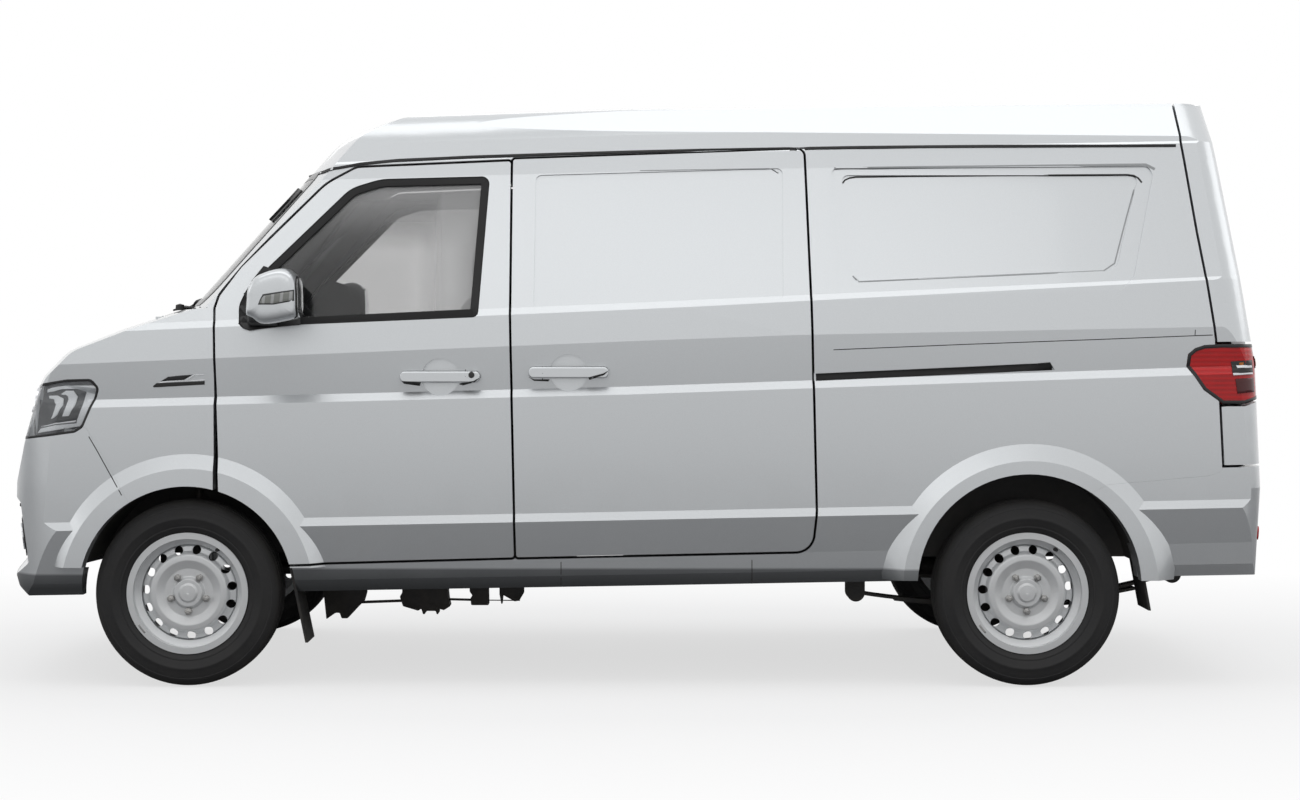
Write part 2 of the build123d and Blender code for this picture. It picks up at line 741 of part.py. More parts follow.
# Hub and brake, their outer face against the disc's back
hub_face = wheel_offset - 0.3
hub_points = [
    (0, -hub_face - 16), (hub_spigot_radius, -hub_face - 16), (hub_spigot_radius, -hub_face), (70, -hub_face),
    (70, -hub_face + 10), (brake_radius, -hub_face + 12), (brake_radius, -hub_face + 34),
    (52, -hub_face + 34),
    (46, -hub_face + 60), (0, -hub_face + 60),
]
hub_local = turned(hub_points)
drum_points = [
    (0, -hub_face - 16), (hub_spigot_radius, -hub_face - 16), (hub_spigot_radius, -hub_face), (70, -hub_face),
    (brake_radius - 6, -hub_face + 8), (brake_radius, -hub_face + 14), (brake_radius, -hub_face + 60),
    (brake_radius - 14, -hub_face + 66), (0, -hub_face + 66),
]
drum_local = turned(drum_points)


def placed(local, x, y, z, side):
    """A wheel part modelled for the left side, moved there or mirrored to the right."""
    left = local.moved(Location((x, -y, z)))
    return left if side < 0 else mirror(left, about=Plane.XZ)


corner_names = (("front_left", front_axle_x, -1), ("front_right", front_axle_x, 1),
                ("rear_left", rear_axle_x, -1), ("rear_right", rear_axle_x, 1))
for corner, axle_x, side in corner_names:
    nodes["tyre_" + corner] = placed(tyre_local, axle_x, half_track, tyre_radius, side)
    nodes["rim_" + corner] = placed(rim_local, axle_x, half_track, tyre_radius, side)

# Front suspension: a strut leaning inwards to its mount under the wheelhouse, and a lower arm.
# The steering axis runs from the arm's ball joint to the strut mount.
strut_top = (front_axle_x, -545.0, 648.0)
ball_joint = (front_axle_x, -640.0, 200.0)
wheel_plane = -half_track
knuckle = hub_local.moved(Location((front_axle_x, wheel_plane, tyre_radius)))
inner_face = wheel_plane - hub_face + 60
knuckle += box_between(front_axle_x - 26, front_axle_x + 26, inner_face - 2, inner_face + 26, 210, 400)
knuckle += bar((front_axle_x, -600, 380), (front_axle_x, -562, 568), 25)
knuckle += bar((front_axle_x, -562, 568), strut_top, 11)
knuckle += box_between(front_axle_x - 22, front_axle_x + 22, inner_face + 5, -575, 330, 400)
knuckle += bar((front_axle_x, -640, 207), (front_axle_x, -640, 240), 14)
nodes["knuckle_left"], nodes["knuckle_right"] = both_sides(knuckle)

tub_gap = 6.0
tub_skin = 6.0
front_tub_inner_y = 430.0
rear_tub_inner_y = 560.0


def wheel_tub(axle_x, opening, inner_y, outer_y=752.0):
    """The wheelhouse inside the flank: half a drum, closed on its inner side."""
    x, z, r = axle_x + opening[0], opening[1], opening[2] + tub_gap
    drum = disc_y(x, z, r + tub_skin, -outer_y, -inner_y + tub_skin)
    drum = drum - disc_y(x, z, r, -outer_y - 10, -inner_y)
    return drum


rail_top = floor_top - floor_thickness
rail_low = rail_top - rail_height
rail_face = rail_y + rail_width / 2
firewall_x = front_axle_x - 110
tub_low = 400.0
floor_end = tail_x - wall - 42
floor = inner & box_between(firewall_x, floor_end, -1000, 1000, rail_top, floor_top)
for axle_x, (opening, lip, outer_edge), tub_y in (
    (front_axle_x, arches[0][1:], front_tub_inner_y),
    (rear_axle_x, arches[1][1:], rear_tub_inner_y),
):
    tub = wheel_tub(axle_x, opening, tub_y)
    tub = tub & box_between(axle_x - 420, axle_x + 420, -752, 0, tub_low, 1000)
    void = disc_y(axle_x + opening[0], opening[1], opening[2] + tub_gap, -900, -tub_y)
    for piece, hollow in zip(both_sides(tub), both_sides(void)):
        floor = (floor - hollow) + (piece & inner)
firewall = inner & box_between(firewall_x - 20, firewall_x, -640, 640, rail_top, 1300)
firewall = firewall - disc_y(front_axle_x + 5, 304, 349, -1000, -430) - disc_y(front_axle_x + 5, 304, 349, 430, 1000)
floor = floor + firewall
# Engine hatch under the front seats
engine_x = (front_axle_x + 430, front_axle_x + 900)
engine_y = 270.0
engine_z = (300.0, 655.0)
hump_wall = 18.0
hump_outer = box_between(engine_x[0] - 30, engine_x[1] + 30, -290, 290, rail_top, engine_z[1] + 35)
hump_inner = box_between(engine_x[0] - 12, engine_x[1] + 12, -272, 272, 0, engine_z[1] + 17)
floor = (floor + hump_outer) - hump_inner
door_hinge = (front_axle_x + 175, 802.0)
door_sweep = 90.0
for side in (-1, 1):
    post = Pos(door_hinge[0], side * door_hinge[1], 800) * Cylinder(door_sweep, 900)
    low, high = sorted((side * 746.5, side * 1000))
    step = box_between(front_axle_x + 90, front_axle_x + 1066, low, high, 380, 1300)
    floor = (floor - post) - step
lash_xs = (-50.0, 1150.0)
lash_y = 450.0
lash_radius = 5.25
for side in (-1, 1):
    for x in lash_xs:
        floor = floor - bar((x, side * lash_y, 500), (x, side * lash_y, 600), lash_radius)
nodes["floor_pan"] = floor

# Ladder frame: straight rails, cross members and brackets that butt on each other
tow_xs = (tail_x - 190, tail_x - 110)
tow_hole_radius = 6.5
frame_pieces = []


def frame_block(x0, x1, y0, y1, z0, z1):
    """A block on both sides of the van."""
    for side in (-1, 1):
        low, high = sorted((side * y0, side * y1))
        frame_pieces.append(box_between(x0, x1, low, high, z0, z1))


rail_inner = rail_face - rail_width
for side in (-1, 1):
    low, high = sorted((side * rail_inner, side * rail_face))
    rail = box_between(nose_x + 130, tail_x - 75, low, high, rail_low, rail_top)
    for x in tow_xs:
        rail = rail - bar((x, side * rail_y, rail_low - 50), (x, side * rail_y, rail_top + 50), tow_hole_radius)
    frame_pieces.append(rail)
cross_xs = (nose_x + 155, front_axle_x - 60, front_axle_x + 985, front_axle_x + 1650, rear_axle_x - 480,
            rear_axle_x + 120, tail_x - 105)
for x in cross_xs:
    frame_pieces.append(box_between(x - 25, x + 25, -rail_inner, rail_inner, rail_low + 25, rail_top - 5))
# Outriggers that carry the body's sills
for x in (front_axle_x + 470, front_axle_x + 1300, rear_axle_x - 610):
    frame_block(x - 30, x + 30, rail_face, 699.7, rail_low + 20, rail_top - 5)
# Hangers of the leaf springs: a block beside the rail and two plates below it
spring_y = 480.0
spring_eye_x = rear_axle_x - 529
spring_eye_z = 276.0
shackle_x = rear_axle_x + 520
shackle_z = 338.0
leaf_width = 56.0
hanger_low = rail_low + 30
for x, z in ((spring_eye_x, spring_eye_z), (shackle_x, shackle_z)):
    frame_block(x - 45, x + 45, rail_face, spring_y + leaf_width / 2 + 9, hanger_low, rail_top - 5)
    for side in (-1, 1):
        for plate_side in (-1, 1):
            y = side * spring_y + plate_side * (leaf_width / 2 + 6)
            plate = box_between(x - 30, x + 30, y - 3, y + 3, z, hanger_low)
            frame_pieces.append(plate + disc_y(x, z, 30, y - 3, y + 3))
# Brackets of the lower arms, and stubs that hold the front bumper
for dx in (-150, 150):
    frame_block(front_axle_x + dx - 20, front_axle_x + dx + 20, rail_inner, 350, 300, rail_low)
frame_block(nose_x + 100, nose_x + 130, 310, 350, rail_low + 20, rail_top - 20)
frame = compound(*frame_pieces)
nodes["chassis_frame"] = frame

arm_z = 246.0
arms = []
for side in (-1, 1):
    arm = None
    for dx in (-150, 150):
        start = (front_axle_x + dx, side * 320, arm_z + 30)
        end = (front_axle_x, side * 640, 190)
        leg = bar(start, end, 11)
        leg += Pos(front_axle_x + dx, side * 320, arm_z + 30) * Rot(0, 90, 0) * Cylinder(23.7, 44)
        arm = leg if arm is None else arm + leg
    arm += Pos(front_axle_x, side * 640, 190) * Cylinder(22, 29.4)
    arms.append(arm)
nodes["lower_arms"] = compound(*arms)

rack_x = front_axle_x + 95
rack = Pos(rack_x, 0, 300) * Rot(90, 0, 0) * Cylinder(24, 560)
for side in (-1, 1):
    rack += Pos(rack_x, side * 340, 300) * Rot(90, 0, 0) * Cylinder(30, 120)
    rack += Pos(rack_x, side * 410, 300) * Rot(90, 0, 0) * Cylinder(8, 60)
    rack += box_between(rack_x - 18, rack_x + 18, side * 220 - 20, side * 220 + 20, 300, rail_low + 24.7)
rack += box_between(rack_x - 155, rack_x + 18, -240, 240, rail_low - 2, rail_low + 24.7)
nodes["steering_rack"] = rack

# Rear axle with its final drive, on two leaf springs
axle_tube_radius = 36.0
drum_inner = half_track + hub_face - 66
axle = Pos(rear_axle_x, 0, tyre_radius) * Rot(90, 0, 0) * Cylinder(axle_tube_radius, 2 * drum_inner + 2)
axle += Pos(rear_axle_x, 0, tyre_radius) * Sphere(105)
axle += bar((rear_axle_x, 0, tyre_radius), (rear_axle_x - 165, 0, tyre_radius + 12), 48)
for side in (-1, 1):
    axle += placed(drum_local, rear_axle_x, half_track, tyre_radius, side)
nodes["rear_axle"] = axle


def leaf(half_length_front, half_length_rear, rise_front, rise_rear, top):
    """One leaf seen from the side: a strip between two arcs, lowest under the axle."""
    x0, x1 = rear_axle_x - half_length_front, rear_axle_x + half_length_rear
    with BuildSketch(Plane.XZ) as outline:
        with BuildLine():
            ThreePointArc((x0, top + rise_front), (rear_axle_x, top), (x1, top + rise_rear))
            Line((x1, top + rise_rear), (x1, top + rise_rear - leaf_thick))
            ThreePointArc(
                (x1, top + rise_rear - leaf_thick), (rear_axle_x, top - leaf_thick),
                (x0, top + rise_front - leaf_thick),
            )
            Line((x0, top + rise_front - leaf_thick), (x0, top + rise_front))
        make_face()
    return outline.sketch


seat_z = tyre_radius - axle_tube_radius
leaf_thick = 9.0
leaf_top = seat_z - 12
spring_face = leaf(rear_axle_x - spring_eye_x, shackle_x - rear_axle_x, 28, 90, leaf_top)
spring_face += leaf(400, 400, 14, 50, leaf_top - leaf_thick)
spring_face += leaf(250, 250, 3, 16, leaf_top - 2 * leaf_thick)
spring_face += Plane.XZ * Pos(spring_eye_x, leaf_top + 24) * Circle(20)
spring_face += Plane.XZ * Pos(shackle_x, leaf_top + 86) * Circle(20)
spring = extrude(spring_face, amount=leaf_width / 2, both=True)
spring += box_between(
    rear_axle_x - 55, rear_axle_x + 55, -leaf_width / 2 - 6, leaf_width / 2 + 6, leaf_top - 38, leaf_top + 8
)
spring += box_between(
    rear_axle_x - 34, rear_axle_x + 34, -leaf_width / 2 - 2, leaf_width / 2 + 2, leaf_top, tyre_radius
)
springs = [spring.moved(Location((0, side * spring_y, 0))) - axle for side in (-1, 1)]
nodes["leaf_springs"] = compound(*springs)

# Engine and gearbox in one block, propeller shaft, exhaust, tank, spare wheel
engine = box_between(engine_x[0], engine_x[1], -engine_y + 20, engine_y - 20, engine_z[0], engine_z[1])
engine = engine - box_between(engine_x[0] - 5, engine_x[1] + 5, 255, 400, 0, 1000)
gearbox_end = engine_x[1] + 330
engine += box_between(engine_x[1] - 5, gearbox_end, -110, 110, 330, 530)
engine = engine - frame
nodes["engine_block"] = engine
pinion_x = rear_axle_x - 165
nodes["drive_shaft"] = bar((gearbox_end, 0, 400), (pinion_x, 0, tyre_radius + 12), 32) - axle - engine

pipe_radius = 22.0
exhaust_y = 420.0
exhaust_z = 430.0
exhaust = bar((engine_x[1] + 40, exhaust_y, exhaust_z), (tail_x - 110, exhaust_y, exhaust_z), pipe_radius)
exhaust += Pos(front_axle_x + 1500, exhaust_y, exhaust_z - 25) * Rot(0, 90, 0) * Cylinder(75, 480)
nodes["exhaust"] = exhaust - frame - floor

tank = box_between(front_axle_x + 1400, front_axle_x + 2040, -680, -rail_face - 10, 385, rail_top)
nodes["fuel_tank"] = fillet(tank.edges().filter_by(Axis.X), 30)
spare_x = rear_axle_x + 420
spare_radius = 285.0
spare = Pos(spare_x, 0, rail_top - 25 - 85) * Cylinder(spare_radius, 150)
spare = fillet(spare.edges(), 30) - (Pos(spare_x, 0, 370) * Cylinder(150, 60))
spare += Pos(spare_x, 0, 510) * Cylinder(20, 100)
spare = spare & box_between(spare_x - 400, spare_x + 400, -298, 298, 0, rail_top)
nodes["spare_wheel"] = spare - frame

flap_specs = ((front_axle_x + 330, 142, 376, 49), (rear_axle_x + 352, 245, 440, 36))
flaps = []
for x, z_low, z_high, lean in flap_specs:
    points = [(x, z_high), (x + 8, z_high), (x + 8 + lean, z_low), (x + lean, z_low)]
    flap = across(points, 0, -760, -600)
    flap += across([(x - 4, z_high - 30), (x + 12, z_high - 30), (x + 12, 470), (x - 4, 470)], 0, -690, -640)
    flaps += list(both_sides(pieces(flap - floor - shell - frame)[0]))
nodes["mud_flaps"] = compound(*flaps)


# Cab: seats, dashboard, steering wheel on its column, and the door mirrors
seat_base_z = engine_z[1] + 35
seats = []
seat_x = (front_axle_x + 430, front_axle_x + 900)
for side in (-1, 1):
    profile = [
        (seat_x[0], seat_base_z + 0.3), (seat_x[0] - 10, seat_base_z + 110), (seat_x[0] + 380, seat_base_z + 80),
        (seat_x[1] - 50, seat_base_z + 560), (seat_x[1] - 10, seat_base_z + 780), (seat_x[1] + 60, seat_base_z + 770),
        (seat_x[1] + 30, seat_base_z + 540), (seat_x[1] + 10, seat_base_z + 0.3),
    ]
    low, high = sorted((side * 130, side * 620))
    seat = across(profile, [10, 40, 60, 60, 25, 25, 60, 20], low, high)
    seats.append(seat)
nodes["front_seats"] = compound(*seats)
for side in (-1, 1):
    low, high = sorted((side * 290, side * 640))
    nodes["floor_pan"] = nodes["floor_pan"] + box_between(
        seat_x[0] - 10, seat_x[1] + 20, low, high, floor_top - 2, seat_base_z
    )

dash_half_width = 690.0
dash_x = firewall_x
dash_profile = [
    (dash_x + 0.3, 860), (dash_x + 0.3, 1135), (dash_x + 60, 1168), (dash_x + 235, 1178), (dash_x + 300, 1140),
    (dash_x + 285, 960), (dash_x + 180, 800), (dash_x + 60, 780),
]
dash = across(dash_profile, [0, 10, 60, 40, 40, 60, 60, 30], -dash_half_width, dash_half_width) & inner
wheel_hub = (front_axle_x + 395, -360.0, 1090.0)
wheel_tilt = 35.0
wheel_axis = Vector(cos(radians(wheel_tilt)), 0, sin(radians(wheel_tilt)))
steering_radius = 185.0
hub_point = Vector(*wheel_hub)
column_start = hub_point - wheel_axis * 300
column = bar(tuple(column_start), tuple(hub_point - wheel_axis * 45.3), 32)
nodes["dashboard"] = dash + column
wheel_frame = Plane(origin=hub_point, x_dir=(0, 1, 0), z_dir=wheel_axis)
steering = wheel_frame * Torus(steering_radius, 14)
steering += wheel_frame * Pos(0, 0, -20) * Cylinder(55, 50)
for spoke in (0, 180, 270):
    steering += wheel_frame * Rot(0, 0, spoke) * Pos(steering_radius / 2 + 12, 0, -6) * Box(steering_radius - 26, 34, 12)
nodes["steering_wheel"] = steering

mirror_profile = from_front([(153, 1186), (165, 1284), (197, 1330), (285, 1344), (349, 1312), (359, 1205), (325, 1164),
                             (225, 1160)])
shell_head = across(mirror_profile, [25, 40, 40, 60, 50, 40, 30, 30], -985, -815)
shell_head = fillet(shell_head.faces().sort_by(Axis.Y)[0].edges(), 22)
stalk = across(from_front([(152, 1130), (150, 1215), (200, 1235), (215, 1165), (190, 1130)]), 8, -830, -760)
mirror_left = (shell_head + stalk) - door_left - door_glass - skin_moved(0, -0.3, 0)
nodes["door_mirror_left"], nodes["door_mirror_right"] = both_sides(compound(pieces(mirror_left)[0]))
for name, shape in nodes.items():
    solids = shape.solids()
    print(name, len(solids), [round(s.volume / 1e6, 2) for s in solids][:6], shape.is_valid)

os.makedirs("parts", exist_ok=True)
for name, shape in nodes.items():
    export_step(shape, "parts/" + name + ".step")
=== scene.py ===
# %% [markdown]
# # Dressing a small cargo van
# The construction comes from the imported frame, in metres: the nose points to -X, the left flank
# faces -Y and Z is up. This lesson gives every panel its painted finish and adds what a maker
# would fit last: seals, lamps, wipers, handles' locks and tread.

# %% Load the frame and remember its box
from math import cos, pi, radians, sin

import bmesh
import bpy
from mathutils import Matrix, Vector
from mathutils.bvhtree import BVHTree


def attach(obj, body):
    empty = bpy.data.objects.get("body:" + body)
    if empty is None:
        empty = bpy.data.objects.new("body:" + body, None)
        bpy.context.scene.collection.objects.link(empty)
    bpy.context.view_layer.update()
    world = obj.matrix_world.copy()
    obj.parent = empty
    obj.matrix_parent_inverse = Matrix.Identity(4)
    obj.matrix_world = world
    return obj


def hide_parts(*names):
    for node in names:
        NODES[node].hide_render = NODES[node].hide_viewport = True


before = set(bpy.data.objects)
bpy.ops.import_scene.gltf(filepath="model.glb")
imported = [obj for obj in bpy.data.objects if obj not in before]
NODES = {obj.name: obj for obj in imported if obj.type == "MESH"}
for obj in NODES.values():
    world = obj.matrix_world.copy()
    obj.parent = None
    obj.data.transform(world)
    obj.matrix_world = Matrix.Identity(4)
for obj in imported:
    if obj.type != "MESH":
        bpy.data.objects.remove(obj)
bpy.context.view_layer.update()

print("nodes", len(NODES))

# %% [markdown]
# ## The camera
# The picture was taken level, from 7.4 m beside the near wheels and 1.12 m up, a little behind
# the middle of the van. A long lens keeps the flank calm, and a small shift frames it, so that
# the uprights stay upright, which turning the camera down would not do.

# %% The camera at the photograph's place
PHOTO_WIDTH = 1300
PHOTO_HEIGHT = 800
VANISHING_X = 634.0
VANISHING_Y = 338.5
EYE = Vector((0.020, -8.160, 1.119))
LENS = 63.8


def add_camera():
    data = bpy.data.cameras.new("camera")
    data.lens = LENS
    data.sensor_width = 36.0
    data.clip_end = 200.0
    data.shift_x = (PHOTO_WIDTH / 2 - VANISHING_X) / PHOTO_WIDTH
    data.shift_y = (VANISHING_Y - PHOTO_HEIGHT / 2) / PHOTO_WIDTH
    camera = bpy.data.objects.new("camera", data)
    bpy.context.scene.collection.objects.link(camera)
    camera.location = EYE
    camera.rotation_euler = (radians(90), 0, 0)
    bpy.context.scene.camera = camera


add_camera()
print("camera at", tuple(EYE))

# %% [markdown]
# ## Shader maths as Python
# Node trees are easier to read as expressions. One small class wraps a socket and overloads the
# operators, so that a mask is written like a sum and each operator adds its own Math node.

# %% A socket that can be calculated with
class Wire:
    def __init__(self, tree, socket):
        self.tree = tree
        self.socket = socket

    def node(self, kind, settings=None, inputs=None, output=0):
        made = self.tree.nodes.new(kind)
        for key, value in (settings or {}).items():
            setattr(made, key, value)
        for key, value in (inputs or {}).items():
            if isinstance(value, Wire):
                self.tree.links.new(value.socket, made.inputs[key])
            else:
                made.inputs[key].default_value = value
        return Wire(self.tree, made.outputs[output])

    def maths(self, operation, other=None):
        inputs = {0: self} if other is None else {0: self, 1: other}
        return self.node("ShaderNodeMath", {"operation": operation}, inputs)

    def __add__(self, other):
        return self.maths("ADD", other)

    __radd__ = __add__

    def __mul__(self, other):
        return self.maths("MULTIPLY", other)

    __rmul__ = __mul__

    def __sub__(self, other):
        return self.maths("SUBTRACT", other)

    def __rsub__(self, other):
        return (self * -1.0) + other

    def __gt__(self, other):
        return self.maths("GREATER_THAN", other)

    def __lt__(self, other):
        return self.maths("LESS_THAN", other)

    def parts(self):
        """The three numbers of a vector."""
        return [self.node("ShaderNodeSeparateXYZ", {}, {0: self}, output=i) for i in range(3)]

    def ramp(self, low, high):
        """0 below low, 1 above high, straight between."""
        return self.node(
            "ShaderNodeMapRange", {"clamp": True}, {0: self, 1: low, 2: high, 3: 0.0, 4: 1.0}
        )


def mix_colour(factor, first, second):
    return factor.node(
        "ShaderNodeMix", {"data_type": "RGBA"}, {0: factor, 6: first, 7: second}, output=2
    )


def opaque(colour, share=1.0):
    """A colour with its alpha, made lighter or darker by a share."""
    return tuple(share * part for part in colour) + (1,)


print("shader maths ready")

# %% A material with its shader, and the places that its patterns read
def new_material(name, **values):
    """A material, its Principled shader, and the Object coordinates as a Wire."""
    material = bpy.data.materials.new(name)
    material.use_nodes = True
    tree = material.node_tree
    shader = tree.nodes["Principled BSDF"]
    for key, value in values.items():
        shader.inputs[key.replace("_", " ")].default_value = value
    place = tree.nodes.new("ShaderNodeTexCoord")
    return material, shader, Wire(tree, place.outputs["Object"])


def feed(shader, key, wire):
    wire.tree.links.new(wire.socket, shader.inputs[key])


def noise(place, scale, detail=3.0, roughness=0.5):
    inputs = {"Vector": place, "Scale": scale, "Detail": detail, "Roughness": roughness}
    return place.node("ShaderNodeTexNoise", {}, inputs)


def stripes(place, direction, scale):
    inputs = {"Vector": place, "Scale": scale}
    return place.node("ShaderNodeTexWave", {"bands_direction": direction}, inputs)


def bump(place, height, strength, distance):
    inputs = {"Strength": strength, "Distance": distance, "Height": height}
    return place.node("ShaderNodeBump", {}, inputs)


print("material helpers ready")

# %% [markdown]
# ## The studio
# A white sweep is cheapest as two things: a world that the camera sees as plain white, and a
# floor that mixes its lit surface with white for the camera alone, so the shadow under the van
# stays and the rest of the floor disappears into the background.

# %% Floor and world
FLOOR_SIZE = 60.0
FLOOR_HEIGHT = -0.0005
FLOOR_SEEN = (0.80, 0.80, 0.81)
FLOOR_REFLECTED = (0.24, 0.24, 0.245)
# Shares of plain white in the floor: under the van for the camera, and far off for reflections
FLOOR_WHITE = 0.68
GLOSSY_WHITE = 0.84
# Strengths of the world: at the horizon and overhead in reflections, and as light
GLOSSY_HORIZON = 0.92
GLOSSY_WORLD = 0.92
WORLD_LIGHT = 0.92


def make_floor():
    bpy.ops.mesh.primitive_plane_add(size=FLOOR_SIZE, location=(0, 0, FLOOR_HEIGHT))
    floor = bpy.context.object
    floor.name = "studio_floor"
    material = bpy.data.materials.new("white_floor")
    material.use_nodes = True
    tree = material.node_tree
    tree.nodes.clear()
    path = tree.nodes.new("ShaderNodeLightPath")
    seen = Wire(tree, path.outputs["Is Camera Ray"])
    lit = tree.nodes.new("ShaderNodeBsdfDiffuse")
    feed(lit, "Color", mix_colour(seen, opaque(FLOOR_REFLECTED), opaque(FLOOR_SEEN)))
    white = tree.nodes.new("ShaderNodeEmission")
    white.inputs["Color"].default_value = (1, 1, 1, 1)
    x, y, _ = Wire(tree, tree.nodes.new("ShaderNodeTexCoord").outputs["Object"]).parts()
    far = (x * x * 0.25 + y * y).maths("SQRT").ramp(1.4, 3.2)
    distant = (y * y).maths("SQRT").ramp(1.5, 9.0)
    glossy = Wire(tree, path.outputs["Is Glossy Ray"])
    mixer = tree.nodes.new("ShaderNodeMixShader")
    share = far * (1.0 - FLOOR_WHITE) + FLOOR_WHITE
    feed(mixer, 0, seen * share + glossy * distant * GLOSSY_WHITE)
    tree.links.new(lit.outputs[0], mixer.inputs[1])
    tree.links.new(white.outputs[0], mixer.inputs[2])
    output = tree.nodes.new("ShaderNodeOutputMaterial")
    tree.links.new(mixer.outputs[0], output.inputs["Surface"])
    floor.data.materials.append(material)


def make_world():
    """White to the camera, to glass and to gloss, and a plain grey light on everything."""
    world = bpy.data.worlds.new("studio")
    bpy.context.scene.world = world
    world.use_nodes = True
    tree = world.node_tree
    path = tree.nodes.new("ShaderNodeLightPath")
    through = Wire(tree, path.outputs["Is Transmission Ray"])
    seen = Wire(tree, path.outputs["Is Camera Ray"]).maths("MAXIMUM", through)
    height = Wire(tree, tree.nodes.new("ShaderNodeTexCoord").outputs["Generated"]).parts()[2]
    sky = height.ramp(-0.02, 0.13) * (GLOSSY_WORLD - GLOSSY_HORIZON) + GLOSSY_HORIZON
    glossy = Wire(tree, path.outputs["Is Glossy Ray"]) * sky
    light = height.ramp(-0.2, 0.9) * WORLD_LIGHT
    background = tree.nodes["Background"]
    background.inputs["Color"].default_value = (1, 1, 1, 1)
    feed(background, "Strength", seen.maths("MAXIMUM", glossy).maths("MAXIMUM", light))


make_floor()
make_world()
bpy.context.scene.view_settings.view_transform = "Standard"
print("stage ready")

# %% [markdown]
# ## Lamps
# A van is shown under one very large overhead softbox, which lights the roof and the upper half
# of the flank, and a weaker bank near the camera. Big lamps give the long soft gradients that
# make pressed panels readable.

# %% Softboxes
# Name, place, aim, size, power
SOFTBOXES = (
    ("overhead", (0, -1.6, 6.5), (0, 0, 0), (9.0, 4.0), 95),
    ("camera_side", (-1.0, -9.0, 5.0), (0, 0, 1.0), (8.0, 2.0), 35),
    ("far_side", (0.5, 8.5, 4.6), (0, 0, 1.0), (8.0, 2.5), 35),
    ("nose_side", (-8.0, -1.5, 3.4), (0, 0, 0.9), (4.0, 2.5), 25),
    ("tail_side", (8.0, 1.0, 3.4), (0, 0, 0.9), (4.0, 2.5), 25),
)
for name, spot, aim, size, power in SOFTBOXES:
    data = bpy.data.lights.new(name, "AREA")
    data.shape = "RECTANGLE"
    data.size, data.size_y = size
    data.energy = power
    softbox = bpy.data.objects.new(name, data)
    bpy.context.scene.collection.objects.link(softbox)
    softbox.location = spot
    softbox.rotation_euler = (Vector(aim) - Vector(spot)).to_track_quat("-Z", "Y").to_euler()
print("lamps", len(SOFTBOXES))

# %% [markdown]
# ## Painted metal
# Car paint is a colour under clear lacquer. The lacquer is the Coat. Faint orange peel comes
# from a very shallow bump. Low on the flanks the paint is painted darker in patches, as shade,
# and turns duller like dust, so the lowest part of every panel is a little darker and duller.
# The darkening never reaches the roof.

# %% Body paint
REAR_ARCH = 1.05
# Painted shade low on the bumper and the sills: height of its darkest foot, and its top on each
SHADE_FOOT = 0.315
BUMPER_SHADE_TOP = 0.362
SILL_SHADE_TOP = 0.381
FLAKE_DARK = (0.640, 0.664, 0.682)
FLAKE_LIGHT = (0.690, 0.714, 0.732)
# Inward trim, low and high: its tone with painted shade, darker low down
LINING_LOW = (0.018, 0.018, 0.019)
LINING_HIGH = (0.46, 0.46, 0.465)
# Colours of that painted shade, at its foot and at its top
LOW_SHADE_DARKEST = (0.080, 0.086, 0.090)
LOW_SHADE_LIGHTEST = (0.210, 0.220, 0.228)
# Colour that the paint darkens towards low down: painted shade, with dust
PAINT_SHADE_AND_DUST = (0.40, 0.39, 0.37)
EDGE = 0.004


def paint_material(name, dark_below=0.0):
    """Body paint outside, and on the faces that look inwards dark trim under painted shade.

    dark_below is the height under which the paint turns a darker grey, darkest at its foot,
    ahead of the rear arch: painted shade on the surfaces that turn under.
    """
    material, shader, place = new_material(name, Metallic=0.70, Coat_Roughness=0.05)
    x, y, z = place.parts()
    _, side, up = Wire(place.tree, place.socket.node.outputs["Normal"]).parts()
    # Painted shade with dust: darker and duller towards the bottom, in patches
    dust_and_shade = (1.0 - z.ramp(0.20, 0.75)) * noise(place, 5.0, 6.0, 0.6).ramp(0.42, 0.78) * 0.30
    flake = noise(place, 900.0, 1.0, 0.5).ramp(0.35, 0.65)
    clean = mix_colour(flake, opaque(FLAKE_DARK), opaque(FLAKE_LIGHT))
    colour = mix_colour(dust_and_shade, clean, opaque(PAINT_SHADE_AND_DUST))
    # Painted shade: ahead of the rear arch the paint below dark_below turns dark grey, darkest at
    # the foot
    if dark_below:
        ahead = x.ramp(REAR_ARCH + 0.01, REAR_ARCH - 0.01)
        lip = z.ramp(dark_below + EDGE, dark_below - EDGE) * ahead
        low_shade = mix_colour(z.ramp(SHADE_FOOT, dark_below), opaque(LOW_SHADE_DARKEST), opaque(LOW_SHADE_LIGHTEST))
        colour = mix_colour(lip, colour, low_shade)
    inner = (side * y).ramp(-0.10, -0.14).maths("MAXIMUM", (up < -0.5) * (z > 1.50))
    # Painted shade on the inward trim: near black low down, light grey high up
    lining_with_shade = mix_colour(z.ramp(1.26, 1.60), opaque(LINING_LOW), opaque(LINING_HIGH))
    feed(shader, "Base Color", mix_colour(inner, colour, lining_with_shade))
    feed(shader, "Roughness", (dust_and_shade * 0.7 + 0.30).maths("MAXIMUM", inner * 0.75))
    feed(shader, "Coat Weight", (1.0 - inner) * 0.85)
    feed(shader, "Normal", bump(place, noise(place, 240.0, 1.0, 0.4), 0.05, 0.0008))
    return material


def dress(material, *names):
    """A CAD node keeps its mesh and takes this material."""
    for name in names:
        mesh = NODES[name].data
        mesh.materials.clear()
        mesh.materials.append(material)


def pair(name):
    return name + "_left", name + "_right"


PAINT = paint_material("body_paint")
PAINTED = (
    "roof_panel", "hood", "rear_bumper", "tailgate", *pair("front_door"), *pair("slide_door"),
    *pair("front_fender"), *pair("door_mirror"),
)
dress(PAINT, *PAINTED)
